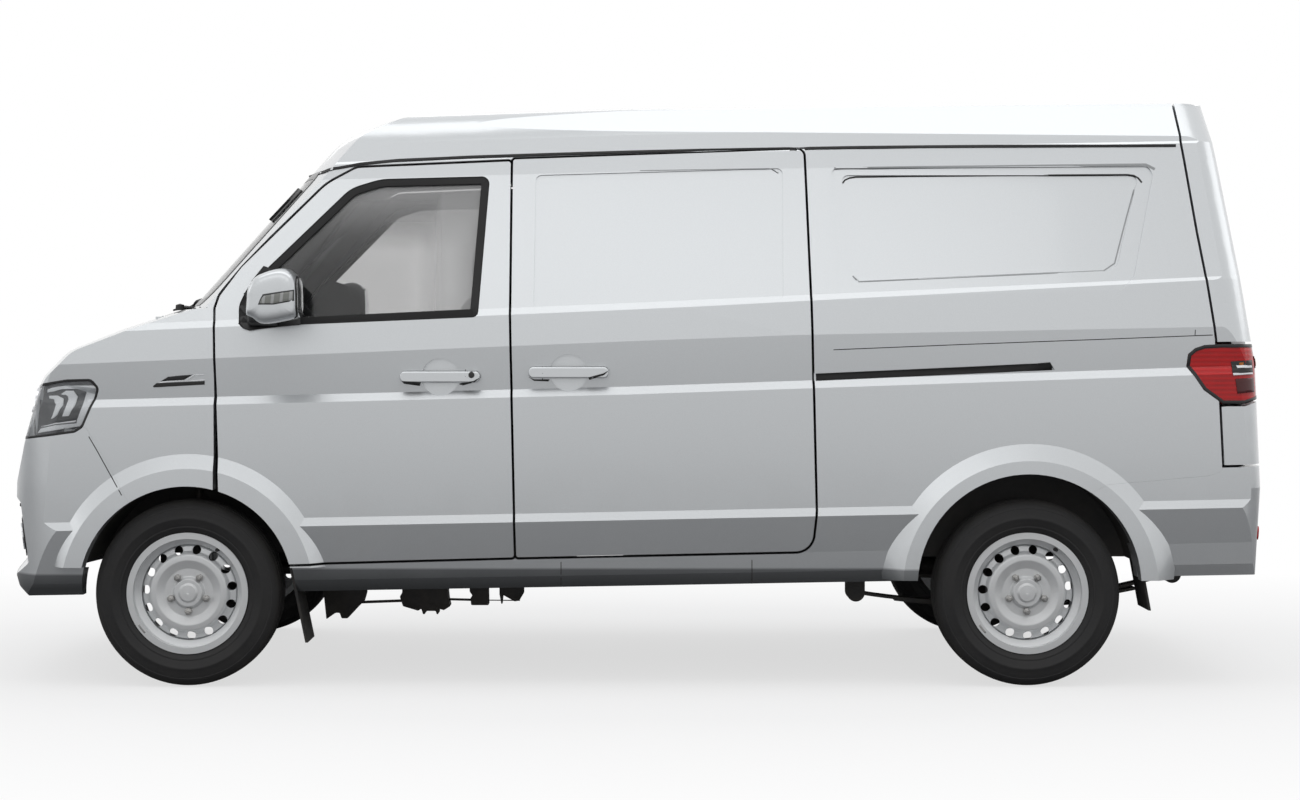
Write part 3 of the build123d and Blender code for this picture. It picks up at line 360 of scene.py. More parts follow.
# The bumper and the side panels get painted shade low down, where they turn under
dress(paint_material("bumper_paint", BUMPER_SHADE_TOP), "front_bumper")
dress(paint_material("sill_paint", SILL_SHADE_TOP), *pair("side_panel"))
print("plain paint on", len(PAINTED), "nodes, paint with painted shade low down on 3")

# %% [markdown]
# ## Glass
# Van glass is thin and tinted, so each pane is drawn as a dark film with a gloss on it: Alpha
# lets the background through, and a sharp coat keeps the reflections. Refraction through so
# thin a pane would show nothing and cost much time.

# %% Window glass
# Painted reflection on the door glass: grey, start and run along the van, heights of its top band
REFLECTION_GREY = (0.58, 0.585, 0.59)
REFLECTION_FROM = -0.74
REFLECTION_RUN = 0.14
REFLECTION_LOW = 1.34
REFLECTION_HIGH = 1.60


def glass_material(name, tint, alpha, painted_sky=False):
    """A painted sky reflection makes the pane's rear and top light grey and hides the seats."""
    material, shader, place = new_material(
        name, IOR=1.52, Specular_IOR_Level=0.9, Coat_Weight=0.6, Coat_Roughness=0.02
    )
    smear = noise(place, 2.4, 4.0, 0.6).ramp(0.35, 0.80)
    colour = mix_colour(smear, opaque(tint), opaque(tint, 1.25))
    edge = place.node("ShaderNodeLayerWeight", {}, {"Blend": 0.22}, output=0)
    film = edge * (0.95 - alpha) + alpha
    if painted_sky:
        # Painted reflection: light grey, more opaque, over the pane's rear and along its top
        x, _, z = place.parts()
        behind = x.ramp(REFLECTION_FROM, REFLECTION_FROM + REFLECTION_RUN)
        haze_and_reflection = behind.maths("MAXIMUM", z.ramp(REFLECTION_LOW, REFLECTION_HIGH))
        colour = mix_colour(haze_and_reflection, colour, opaque(REFLECTION_GREY))
        film = film.maths("MAXIMUM", haze_and_reflection * 0.50)
    feed(shader, "Base Color", colour)
    feed(shader, "Alpha", film)
    feed(shader, "Roughness", smear * 0.05 + 0.02)
    return material


GLASS = glass_material("window_glass", (0.030, 0.033, 0.034), alpha=0.34)
DOOR_GLASS = glass_material("door_window_glass", (0.060, 0.062, 0.064), alpha=0.20, painted_sky=True)
dress(GLASS, "windshield", "tailgate_glass")
dress(DOOR_GLASS, *pair("door_glass"))
print("glass on 4 panes")

# %% [markdown]
# ## Plain finishes
# The rest of the chassis needs honest everyday finishes: satin black on the frame, grained
# plastic, bare exhaust steel, cast iron and rubber. One function builds them all from a few
# named numbers, because they differ in colour, gloss and the size of their grain.

# %% Everyday materials
DRIED_MUD = (0.22, 0.19, 0.155)


def grained(name, dark, light, rough, metal, scale, depth, dust_and_shade=0.0):
    """A base colour with soft patches, a fine bump and dust that settles low down."""
    material, shader, place = new_material(name, Metallic=metal)
    patches = noise(place, scale * 0.03, 5.0, 0.6)
    grain = noise(place, scale, 2.0, 0.6)
    colour = mix_colour(patches.ramp(0.30, 0.72), opaque(dark), opaque(light))
    if dust_and_shade:
        mask = (1.0 - place.parts()[2].ramp(0.10, 0.75)) * patches.ramp(0.35, 0.75) * dust_and_shade
        colour = mix_colour(mask, colour, opaque(DRIED_MUD))
    feed(shader, "Base Color", colour)
    feed(shader, "Roughness", patches * 0.25 + (rough - 0.12))
    feed(shader, "Normal", bump(place, grain, 0.35, depth))
    return material


def grey(value, blue=0.001):
    """A nearly neutral colour with a trace of blue."""
    return value, value, value + blue


# Name, dark, light, roughness, metal, grain scale, grain depth, dust
SATIN_BLACK = grained(
    "chassis_black", (0.012, 0.012, 0.013), (0.030, 0.029, 0.028), 0.55, 0.0, 260, 0.0006, 0.35
)
FRAME_GREY = grained(
    "underbody_coat", (0.045, 0.045, 0.046), (0.085, 0.083, 0.080), 0.70, 0.0, 180, 0.0010, 0.40
)
PLASTIC = grained("grained_black_plastic", grey(0.016), grey(0.026), 0.52, 0.0, 700, 0.0004)
GLOSS_BLACK = grained("gloss_black_plastic", grey(0.008), grey(0.013), 0.20, 0.0, 60, 0.0001)
RUBBER = grained("weather_rubber", grey(0.014), grey(0.024, 0.0), 0.72, 0.0, 900, 0.0003, 0.25)
STEEL = grained("dull_steel", (0.20, 0.19, 0.18), (0.36, 0.34, 0.31), 0.42, 0.9, 120, 0.0004, 0.20)
CAST = grained(
    "cast_iron", (0.060, 0.058, 0.056), (0.120, 0.112, 0.104), 0.62, 0.55, 420, 0.0012, 0.25
)
TRIM_GREY = grained(
    "dash_plastic", (0.040, 0.041, 0.044), (0.060, 0.061, 0.064), 0.58, 0.0, 620, 0.0005
)
BLACK_NODES = ("chassis_frame", "lower_arms", "rear_axle", "leaf_springs", "drive_shaft")
dress(SATIN_BLACK, "steering_rack", *BLACK_NODES)
dress(FRAME_GREY, "floor_pan", "fuel_tank", "spare_wheel")
dress(PLASTIC, "cowl", "front_grille")
dress(RUBBER, "mud_flaps")
dress(STEEL, "exhaust")
dress(CAST, "engine_block", *pair("knuckle"))
dress(TRIM_GREY, "dashboard", "steering_wheel")
# Finishes, each paired with the name of a slot
SATIN = SATIN_BLACK, "black_plastic"
GLOSS = GLOSS_BLACK, "black_plastic"
GRAIN = PLASTIC, "black_plastic"
SEAL = RUBBER, "rubber"
print("everyday finishes on the chassis and trim")

# %% [markdown]
# ## Working by hand in code
# Every new piece below starts as a primitive, is shaped in edit mode, and is closed off with
# modifiers. These small helpers do the clicks: they clear the selection, pick faces by a test,
# and hand a finished mesh to the body that carries it.

# %% Helpers for edit mode
MIRROR = Matrix.Diagonal((1, -1, 1, 1))
UNMOVED = Matrix.Identity(4)


def clear_selection():
    if bpy.context.mode != "OBJECT":
        bpy.ops.object.mode_set(mode="OBJECT")
    bpy.ops.object.select_all(action="DESELECT")


def started(name):
    piece = bpy.context.object
    piece.name = name
    piece.data.name = name
    return piece


def outline_piece(name, corners, fill="NGON"):
    """A flat loop with these corners, in the order in which they are given."""
    clear_selection()
    bpy.ops.mesh.primitive_circle_add(vertices=len(corners), fill_type=fill)
    piece = started(name)
    for vertex, corner in zip(piece.data.vertices, corners):
        vertex.co = corner
    return piece


def only(piece):
    clear_selection()
    piece.select_set(True)
    bpy.context.view_layer.objects.active = piece


def edit(piece, part="VERT", action="DESELECT"):
    only(piece)
    bpy.ops.object.mode_set(mode="EDIT")
    bpy.ops.mesh.select_mode(type=part)
    bpy.ops.mesh.select_all(action=action)


def pick_faces(piece, test):
    """Opens edit mode with the faces selected that pass the test."""
    edit(piece, "FACE")
    mesh = bmesh.from_edit_mesh(piece.data)
    for face in mesh.faces:
        face.select_set(bool(test(face)))
    bmesh.update_edit_mesh(piece.data)


def extrude(step):
    bpy.ops.mesh.extrude_region_move(TRANSFORM_OT_translate={"value": step})


def modify(piece, kind, **settings):
    only(piece)
    modifier = piece.modifiers.new(kind.title(), kind)
    for key, value in settings.items():
        setattr(modifier, key, value)
    bpy.ops.object.modifier_apply(modifier=modifier.name)


def bevel_edges(piece, width, steps=2, angle=50):
    modify(
        piece, "BEVEL", width=width, segments=steps, limit_method="ANGLE",
        angle_limit=radians(angle),
    )


def turn_outwards(piece):
    edit(piece, action="SELECT")
    bpy.ops.mesh.remove_doubles(threshold=0.00005)
    bpy.ops.mesh.normals_make_consistent(inside=False)
    clear_selection()


def mount(piece, body, finish, angle=35):
    """Places and turns become part of the mesh, and the piece rides on its body."""
    material, slot = finish
    only(piece)
    bpy.ops.object.transform_apply(location=True, rotation=True, scale=True)
    bpy.ops.object.shade_smooth_by_angle(angle=radians(angle))
    piece.data.materials.clear()
    piece.data.materials.append(material)
    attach(piece, body)
    clear_selection()


def copied(piece, name, matrix):
    """A copy with its own mesh, moved by the matrix; a mirrored one is turned the right way out."""
    twin = piece.copy()
    twin.data = piece.data.copy()
    twin.name = name
    twin.data.name = name
    twin.parent = None
    twin.matrix_world = UNMOVED
    bpy.context.scene.collection.objects.link(twin)
    twin.data.transform(matrix)
    if matrix.determinant() < 0:
        twin.data.flip_normals()
    return twin


def both_flanks(piece, body, finish):
    """Mounts a left piece and its mirror image, each on the body of its own side."""
    twin = copied(piece, piece.name.replace("left", "right"), MIRROR)
    mount(piece, body, finish)
    mount(twin, body.replace("left", "right"), finish)
    return piece, twin


print("edit helpers ready")

# %% [markdown]
# ## Tyres
# The frame's tyre is a plain ring, which does for rolling. A road tyre has grooves round it,
# slots across its shoulders and steps on its sidewall. One pitch of tread, five degrees long,
# is spun from a profile and pulled down at its slot, and an Array round the axle repeats it.

# %% One pitch of tread and the whole tyre
TYRE_RADIUS = 0.300
PITCHES = 72
# Radius and distance from the middle of the tread, from the bead round to the tread's middle
TYRE_PROFILE = [
    (0.1965, 0.0590), (0.1960, 0.0655), (0.2000, 0.0695), (0.2045, 0.0712), (0.2060, 0.0722),
    (0.2100, 0.0742), (0.2115, 0.0762), (0.2140, 0.0768), (0.2165, 0.0764), (0.2250, 0.0800),
    (0.2380, 0.0830), (0.2395, 0.0838), (0.2440, 0.0840), (0.2455, 0.0833), (0.2600, 0.0820),
    (0.2720, 0.0790), (0.2735, 0.0796), (0.2780, 0.0780), (0.2870, 0.0720), (0.2920, 0.0672),
    (0.2952, 0.0615), (0.2970, 0.0540), (0.2976, 0.0500), (0.2910, 0.0485), (0.2910, 0.0430),
    (0.2984, 0.0412), (0.2992, 0.0290), (0.2994, 0.0240), (0.2918, 0.0225), (0.2918, 0.0165),
    (0.2996, 0.0148), (0.3000, 0.0060),
]
TYRE_INSIDE = [(0.1800, -0.0560), (0.1815, -0.0300), (0.1815, 0.0300), (0.1800, 0.0560)]
# The slot's share of a pitch
SLOT = (0.80, 0.99)
# Shoulders and ribs: nearest and furthest from the tread's middle, least radius, slot's depth
SLOTTED = ((0.052, 0.0735, 0.284, 0.0048), (0.026, 0.0415, 0.295, 0.0040))
# Turn of the tread for each metre from its middle, which starts at this distance and radius
SLANT = 1.12
SLANT_FROM = 0.02
SLANT_RADIUS = 0.285
# Shares of a pitch with their steps: the block, a wall of the slot, its floor, its other wall
COLUMNS = ((0.78, 2), (0.04, 1), (0.14, 1), (0.04, 1))


def angle_from_top(point):
    """Angle about the axle from the top, growing towards the tail."""
    return Vector((0, 1)).angle_signed(Vector((point.x, point.z)), 0.0)


def tread_slots(piece, pitch):
    """Pulls the slot's columns of the pitch down and slants them across the tread."""
    for vertex in piece.data.vertices:
        away = abs(vertex.co.y)
        radius = Vector((vertex.co.x, vertex.co.z)).length
        drop = 0.0
        if pitch * SLOT[0] < angle_from_top(vertex.co) < pitch * SLOT[1]:
            for near, far, least, depth in SLOTTED:
                if near < away < far and radius > least:
                    drop = depth
        slant = (away - SLANT_FROM) * SLANT if radius > SLANT_RADIUS else 0.0
        vertex.co = Matrix.Rotation(slant, 3, "Y") @ vertex.co
        vertex.co -= Vector((vertex.co.x, 0, vertex.co.z)).normalized() * drop


def make_tyre():
    far_half = [(radius, -y) for radius, y in reversed(TYRE_PROFILE)]
    loop = [(0, y, radius) for radius, y in TYRE_PROFILE + far_half + TYRE_INSIDE]
    tyre = outline_piece("tyre_road", loop, "NOTHING")
    pitch = 2 * pi / PITCHES
    edit(tyre, action="SELECT")
    for share, steps in COLUMNS:
        bpy.ops.mesh.spin(steps=steps, angle=pitch * share, center=(0, 0, 0), axis=(0, 1, 0))
    clear_selection()
    tread_slots(tyre, pitch)
    bpy.ops.object.empty_add(rotation=(0, pitch, 0))
    step = bpy.context.object
    modify(
        tyre, "ARRAY", count=PITCHES, use_relative_offset=False, use_object_offset=True,
        offset_object=step, use_merge_vertices=True, use_merge_vertices_cap=True,
        merge_threshold=0.0002,
    )
    bpy.data.objects.remove(step)
    turn_outwards(tyre)
    return tyre


TYRE = make_tyre()
print("tyre faces", len(TYRE.data.polygons))

# %% [markdown]
# Tyre rubber is dark grey and never quite black. Its sidewall carries fine ribs round the axle,
# and the tread is duller, with dust in the slots. One material per axle keeps its centre.

# %% Tyre rubber, placed on four wheels
AXLES = {"front": -1.415, "rear": 1.285}
WHEEL_PLANE = 0.690
# Name of the corner, its end of the van, and -1 on the near side or 1 on the far one
CORNERS = [
    (f"{end}_{side}", end, sign) for end in AXLES for side, sign in (("left", -1), ("right", 1))
]


def wheel_radius(place, axle_x):
    """Distance from an axle's line, for patterns that run round a wheel."""
    centred = place.node("ShaderNodeMapping", {}, {0: place, 1: (-axle_x, 0, -TYRE_RADIUS)})
    x, _, z = centred.parts()
    return (x * x + z * z).maths("SQRT")


def tyre_rubber(name, axle_x):
    material, shader, place = new_material(name, Specular_IOR_Level=0.35)
    radius = wheel_radius(place, axle_x)
    tread = radius.ramp(0.283, 0.292)
    patches = noise(place, 9.0, 5.0, 0.6).ramp(0.35, 0.75)
    wall = mix_colour(patches, (0.024, 0.024, 0.025, 1), (0.035, 0.034, 0.034, 1))
    worn = mix_colour(patches, (0.032, 0.031, 0.031, 1), (0.052, 0.050, 0.046, 1))
    feed(shader, "Base Color", mix_colour(tread, wall, worn))
    feed(shader, "Roughness", tread * 0.16 + patches * 0.08 + 0.56)
    ribs = (radius * 1900.0).maths("SINE") * (1.0 - tread) * radius.ramp(0.246, 0.252)
    grain = noise(place, 500.0, 2.0, 0.6)
    feed(shader, "Normal", bump(place, ribs * 0.5 + grain * 0.4, 0.5, 0.0006))
    return material


TYRE_RUBBER = {end: tyre_rubber("tyre_rubber_" + end, x) for end, x in AXLES.items()}
for corner, end, side in CORNERS:
    place = Matrix.Translation((AXLES[end], side * WHEEL_PLANE, TYRE_RADIUS))
    tyre = copied(TYRE, "road_tyre_" + corner, place if side < 0 else place @ MIRROR)
    mount(tyre, "wheel_" + corner, (TYRE_RUBBER[end], "tyre"), angle=28)
    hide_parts("tyre_" + corner)
bpy.data.objects.remove(TYRE)
print("road tyres", len(CORNERS))

# %% [markdown]
# ## Wheels
# The pressed steel wheels come from the frame and get silver paint with brake dust that
# gathers near the hub. Nuts and a valve are what a hand adds: a nut starts as a six-sided
# cylinder and its top is inset, raised and bevelled. A weight is clipped to the rim's flange.

# %% Wheel paint, and a first nut, valve and weight
FLANGE = 0.186
WEIGHT_SIZE = (0.007, 0.006, 0.034)
# Steps of the valve from its foot to the cap's tip: reach and share of the width before
VALVE_STEPS = ((0.010, 0.72), (0.003, 1.0), (0.001, 1.22), (0.009, 1.0), (0.0015, 0.7))


def wheel_paint(name, axle_x):
    material, shader, place = new_material(
        name, Metallic=0.25, Coat_Weight=0.25, Coat_Roughness=0.2
    )
    radius = wheel_radius(place, axle_x)
    patches = noise(place, 22.0, 5.0, 0.65).ramp(0.35, 0.75)
    near_hub = (1.0 - radius.ramp(0.035, 0.160)) * patches * 0.12
    dusty = near_hub + radius.ramp(0.176, 0.192) * patches * 0.08
    flake = noise(place, 1100.0, 1.0, 0.5)
    clean = mix_colour(flake, (0.78, 0.795, 0.805, 1), (0.85, 0.865, 0.875, 1))
    feed(shader, "Base Color", mix_colour(dusty, clean, (0.20, 0.17, 0.15, 1)))
    feed(shader, "Roughness", dusty * 1.1 + 0.34)
    feed(shader, "Normal", bump(place, noise(place, 260.0, 2.0, 0.5), 0.08, 0.0006))
    return material


def lying_cylinder(name, sides, radius, depth):
    clear_selection()
    bpy.ops.mesh.primitive_cylinder_add(
        vertices=sides, radius=radius, depth=depth, rotation=(pi / 2, 0, 0)
    )
    piece = started(name)
    bpy.ops.object.transform_apply(rotation=True)
    return piece


def push_out(reach, shrink):
    """Draws the selected faces towards the near side and resizes them."""
    extrude((0, -reach, 0))
    bpy.ops.transform.resize(value=(shrink, 1, shrink))


def make_nut():
    """A domed wheel nut, 17 mm across its flats, facing the near side."""
    nut = lying_cylinder("wheel_nut", 6, 0.0120, 0.018)
    pick_faces(nut, lambda f: f.normal.y < -0.9)
    bpy.ops.mesh.inset(thickness=0.0016)
    push_out(0.0028, 0.80)
    push_out(0.0022, 0.62)
    pick_faces(nut, lambda f: f.normal.y > 0.9)
    bpy.ops.mesh.delete(type="FACE")
    clear_selection()
    bevel_edges(nut, 0.0007, angle=40)
    turn_outwards(nut)
    return nut


def make_valve():
    """A rubber valve stem with its knurled cap."""
    valve = lying_cylinder("tyre_valve", 16, 0.0062, 0.012)
    for reach, shrink in VALVE_STEPS:
        pick_faces(valve, lambda f: f.normal.y < -0.9 and f.calc_area() > 0.00001)
        push_out(reach, shrink)
    clear_selection()
    turn_outwards(valve)
    return valve


def make_weight():
    """A clipped balance weight: a small bar bent along the rim's flange."""
    clear_selection()
    bpy.ops.mesh.primitive_cube_add(size=1)
    weight = started("balance_weight")
    weight.scale = WEIGHT_SIZE
    bpy.ops.object.transform_apply(scale=True)
    edit(weight, action="SELECT")
    bpy.ops.mesh.subdivide(number_cuts=4)
    clear_selection()
    for vertex in weight.data.vertices:
        vertex.co.x -= vertex.co.z ** 2 / (2 * FLANGE)
    bevel_edges(weight, 0.0012)
    return weight


for end, axle_x in AXLES.items():
    dress(wheel_paint("wheel_silver_" + end, axle_x), *pair("rim_" + end))
NUT_STEEL = grained("nut_steel", (0.34, 0.34, 0.34), (0.52, 0.51, 0.49), 0.36, 0.85, 300, 0.0003)
NUT = make_nut()
VALVE = make_valve()
WEIGHT = make_weight()
print("nut", len(NUT.data.polygons), "valve", len(VALVE.data.polygons))

# %% Nuts, valves and balance weights on four wheels
# Radius, degrees above level and depth from the wheel's plane
NUT_PLACES = [(0.060, 126 + 72 * number, 0.048) for number in range(5)]
VALVE_PLACE = (0.167, 56.0, 0.034)
WEIGHT_PLACE = (0.1855, 218.0, 0.0675)


def on_wheel(end, side, radius, degrees_up, depth):
    """A matrix to a place on the wheel's outer face."""
    angle = radians(degrees_up)
    along_van = AXLES[end] + radius * cos(angle)
    spot = Vector((along_van, side * (WHEEL_PLANE + depth), TYRE_RADIUS + radius * sin(angle)))
    facing = UNMOVED if side < 0 else MIRROR
    return Matrix.Translation(spot) @ Matrix.Rotation(-angle, 4, "Y") @ facing


for corner, end, side in CORNERS:
    wheel = "wheel_" + corner
    for number, place in enumerate(NUT_PLACES):
        nut = copied(NUT, f"nut_{corner}_{number}", on_wheel(end, side, *place))
        mount(nut, wheel, (NUT_STEEL, "bare_steel"))
    valve = copied(VALVE, "valve_" + corner, on_wheel(end, side, *VALVE_PLACE))
    mount(valve, wheel, SEAL, angle=40)
    weight = copied(WEIGHT, "weight_" + corner, on_wheel(end, side, *WEIGHT_PLACE))
    mount(weight, wheel, (NUT_STEEL, "bare_steel"))
for first in (NUT, VALVE, WEIGHT):
    bpy.data.objects.remove(first)
print("nuts, valves and weights on", len(CORNERS), "wheels")

# %% [markdown]
# ## Window frames
# Each pane stands in a black rubber frame about 30 mm wide. The frame has to follow the flank's
# curve, and the pane already does, so its outer face is copied from the frame model, the copy
# is inset all round, and the middle is thrown away. The ring left over is thickened outwards.

# %% A frame ring from a pane
def outer_face_of(node, name, test):
    """A copy of the faces of a CAD node that pass the test, merged into clean polygons."""
    twin = copied(NODES[node], name, UNMOVED)
    twin.data.materials.clear()
    edit(twin, action="SELECT")
    bpy.ops.mesh.remove_doubles(threshold=0.00002)
    pick_faces(twin, lambda f: not test(f))
    bpy.ops.mesh.delete(type="FACE")
    edit(twin, "FACE", "SELECT")
    bpy.ops.mesh.dissolve_limited(angle_limit=radians(2.0))
    clear_selection()
    return twin


def ring_from(piece, width, proud, inwards=0.0):
    """Keeps a band along the open edge of a sheet and thickens it."""
    edit(piece, "FACE", "SELECT")
    bpy.ops.mesh.inset(thickness=width, use_boundary=True, use_even_offset=True)
    bpy.ops.mesh.delete(type="FACE")
    clear_selection()
    thick = proud + inwards
    share = (proud - inwards) / thick
    modify(piece, "SOLIDIFY", thickness=thick, offset=share, use_even_offset=True)
    bevel_edges(piece, min(0.0015, proud * 0.3))


# Pane, name of its frame, test for its outer faces, width, height over the pane, body, finish
PANES = (
    ("door_glass_left", "window_frame_left", lambda f: f.normal.y < -0.5, 0.026, 0.0115,
     "front_door_left", SEAL),
    ("windshield", "windshield_frame", lambda f: f.normal.x < -0.2 and f.normal.z > 0.2,
     0.030, 0.0015, "root", GLOSS),
    ("tailgate_glass", "hatch_glass_frame", lambda f: f.normal.x > 0.5, 0.024, 0.0075,
     "tailgate", SEAL),
)


def fit(piece, body, finish):
    """Mounts a piece, and with a left one its mirror image."""
    if "left" in piece.name:
        both_flanks(piece, body, finish)
    else:
        mount(piece, body, finish)


for pane, name, test, width, proud, body, finish in PANES:
    ring = outer_face_of(pane, name, test)
    ring_from(ring, width, proud)
    fit(ring, body, finish)
    print(name, len(ring.data.polygons))

# %% [markdown]
# ## Trim that follows the skin
# Seals, strips and lamp details lie on curved panels. Such a piece starts as a flat outline or a
# flat grid, drawn as seen from one side: through the camera in the photograph's own pixels, or
# square on. Each of its points is then sent along its ray until it meets the panel, which is
# what Shrinkwrap does by hand, and Solidify gives the sheet its thickness.

# %% Rays from the sides that pieces are drawn from
# How far a ray drifts sideways in one metre for each pixel from the vanishing point
PIXEL = 3.2109 / 7400.0
CLEAR_OF_VAN = 4
SKINS = {}


def from_camera(u, v):
    return EYE, Vector(((u - VANISHING_X) * PIXEL, 1, (VANISHING_Y - v) * PIXEL)).normalized()


def from_front(u, v):
    return Vector((-CLEAR_OF_VAN, u, v)), Vector((1, 0, 0))


def from_rear(u, v):
    return Vector((CLEAR_OF_VAN, u, v)), Vector((-1, 0, 0))


def camera_outline(corners, y):
    """Pixels of the photograph as (x, z) places on the upright plane at y."""
    metres = PIXEL * (y - EYE.y)
    return [
        (EYE.x + (u - VANISHING_X) * metres, EYE.z + (VANISHING_Y - v) * metres)
        for u, v in corners
    ]


def skin_tree(mesh):
    return BVHTree.FromPolygons(
        [v.co for v in mesh.vertices], [p.vertices for p in mesh.polygons]
    )


def skin_of(name):
    """The node's faces in a tree that answers ray casts, also while the node is hidden."""
    if name not in SKINS:
        SKINS[name] = skin_tree(NODES[name].data)
    return SKINS[name]


def nearest_skin(origin, direction, names):
    """How far a ray goes until it meets one of these nodes, and how the node faces there."""
    best = None
    for name in names:
        place, normal, _, far = skin_of(name).ray_cast(origin, direction)
        if place and normal.dot(direction) < 0 and (best is None or far < best[0]):
            best = (far, normal)
    return best


def lay(piece, view, names, lift):
    """Sends a piece's flat points along their rays; points past an edge keep the last depth."""
    mesh = piece.data
    flat = [v.co.copy() for v in mesh.vertices]
    rays = [view(point.x, point.y) for point in flat]
    met = [nearest_skin(origin, direction, names) for origin, direction in rays]
    known = [i for i, found in enumerate(met) if found]
    for i, vertex in enumerate(mesh.vertices):
        far, normal = met[i] or met[min(known, key=lambda other: (flat[other] - flat[i]).length)]
        origin, direction = rays[i]
        vertex.co = origin + direction * far + normal * lift
    mesh.update()
    if sum(p.normal.dot(rays[p.vertices[0]][1]) * p.area for p in mesh.polygons) > 0:
        mesh.flip_normals()


def thicken(piece, thick, bevel):
    modify(piece, "SOLIDIFY", thickness=thick, offset=1.0)
    turn_outwards(piece)
    bevel_edges(piece, bevel)
    return piece


def plate(name, outline, view, names, lift, thick, cuts=2):
    """A thin plate with this flat outline, laid on the panels behind it."""
    piece = outline_piece(name, [(u, v, 0) for u, v in outline])
    edit(piece, "FACE", "SELECT")
    bpy.ops.mesh.quads_convert_to_tris()
    bpy.ops.mesh.subdivide(number_cuts=cuts)
    clear_selection()
    lay(piece, view, names, lift)
    return thicken(piece, thick, thick * 0.3)


def add_plates(view, names, body, rows, cuts=2):
    """Rows of name, finish, lift, thickness and outline."""
    for name, finish, lift, thick, outline in rows:
        fit(plate(name, outline, view, names, lift, thick, cuts), body, finish)


def along(line, pitch):
    """Points every pitch along a line of flat corners, corners included."""
    points = []
    for start, end in zip(line, line[1:]):
        run = Vector(end) - Vector(start)
        steps = max(1, round(run.length / pitch))
        points += [Vector(start) + run * (i / steps) for i in range(steps)]
    return points + [Vector(line[-1])]


def strip(name, line, width, view, names, lift, thick, pitch, bevel=None):
    """A band of the given width along a line, three points wide, laid on the panels."""
    points = along(line, pitch)
    columns = len(points)
    clear_selection()
    bpy.ops.mesh.primitive_grid_add(x_subdivisions=columns - 1, y_subdivisions=2, size=1)
    piece = started(name)
    for number, vertex in enumerate(piece.data.vertices):
        row, index = divmod(number, columns)
        run = (points[min(index + 1, columns - 1)] - points[max(index - 1, 0)]).normalized()
        spot = points[index] + Vector((-run.y, run.x)) * (row - 1) * width / 2
        vertex.co = (spot.x, spot.y, 0)
    lay(piece, view, names, lift)
    return thicken(piece, thick, bevel or min(thick, 0.002) * 0.35)


print("skin tools ready")

# %% [markdown]
# ## Roof gutters
# The roof is welded to the flanks along a channel with a black seal in it. On the photograph it
# is one dark line from the nose to the hatch, and it ends where the hatch begins.

# %% Gutter seals
GUTTER = [
    (310, 176.8), (318, 173.6), (334, 168.8), (360, 164.2), (400, 160.4), (470, 157.0),
    (560, 154.0), (700, 150.2), (850, 147.6), (1010, 146.4), (1176, 145.6),
]
ROOF_SIDE = ["side_panel_left", "roof_panel", "front_door_left", "slide_door_left"]
gutter = strip(
    "gutter_seal_left", GUTTER, 2.6, from_camera, ROOF_SIDE, lift=-0.0005, thick=0.0035, pitch=5
)
both_flanks(gutter, "root", SEAL)
print("gutter seal", len(gutter.data.polygons))

# %% [markdown]
# ## Sliding door track
# The middle roller of the sliding door runs in a slot along the flank. The slot is a black
# channel, and over it lies a pressed cover line.

# %% The track's channel
FLANK = ["side_panel_left"]
SLIDE_TRACK = [(816, 377.2), (900, 373.4), (980, 369.8), (1052, 366.2)]
COVER_LINE = [(814, 350.6), (960, 344.6), (1100, 339.4), (1213, 335.0)]
channel = strip(
    "slide_track_left", SLIDE_TRACK, 7.2, from_camera, FLANK, lift=-0.0015, thick=0.0028, pitch=14
)
both_flanks(channel, "root", SATIN)
cover = strip(
    "track_cover_seam_left", COVER_LINE, 0.9, from_camera, FLANK,
    lift=-0.0010, thick=0.0014, pitch=20,
)
both_flanks(cover, "root", SEAL)
print("track", len(channel.data.polygons), "cover", len(cover.data.polygons))

# %% [markdown]
# ## Headlamps
# A lamp is a clear lens over a dark tray, with a bright light guide and two fins between them.
# The CAD lamp is one solid, so it is taken apart here: its outer skin becomes the lens, its
# body with the skin pushed in becomes the tray, and the guide floats in the space between.

# %% Lamp finishes
def clear_lens(name, tint, alpha):
    material, shader, place = new_material(
        name, IOR=1.50, Specular_IOR_Level=0.7, Coat_Weight=0.7, Coat_Roughness=0.03
    )
    haze_and_reflection = noise(place, 9.0, 3.0, 0.6).ramp(0.3, 0.8)
    feed(shader, "Base Color", mix_colour(haze_and_reflection, opaque(tint), opaque(tint, 0.8)))
    edge = place.node("ShaderNodeLayerWeight", {}, {"Blend": 0.25}, output=0)
    feed(shader, "Alpha", edge * (0.75 - alpha) + alpha)
    feed(shader, "Roughness", haze_and_reflection * 0.05 + 0.03)
    return material


def light_guide(name, colour, glow):
    """Milky plastic with fine ribs that catch the studio light, and a faint painted glow."""
    material, shader, place = new_material(name, Coat_Weight=0.5, Coat_Roughness=0.08)
    ribs = stripes(place, "Z", 55.0)
    feed(shader, "Base Color", mix_colour(ribs, opaque(colour), opaque(colour, 0.86)))
    feed(shader, "Roughness", ribs * 0.15 + 0.22)
    feed(shader, "Normal", bump(place, ribs, 0.15, 0.0006))
    # Painted glow: a faint emission brightens the plastic as painted light
    shader.inputs["Emission Color"].default_value = opaque(colour)
    shader.inputs["Emission Strength"].default_value = glow
    return material


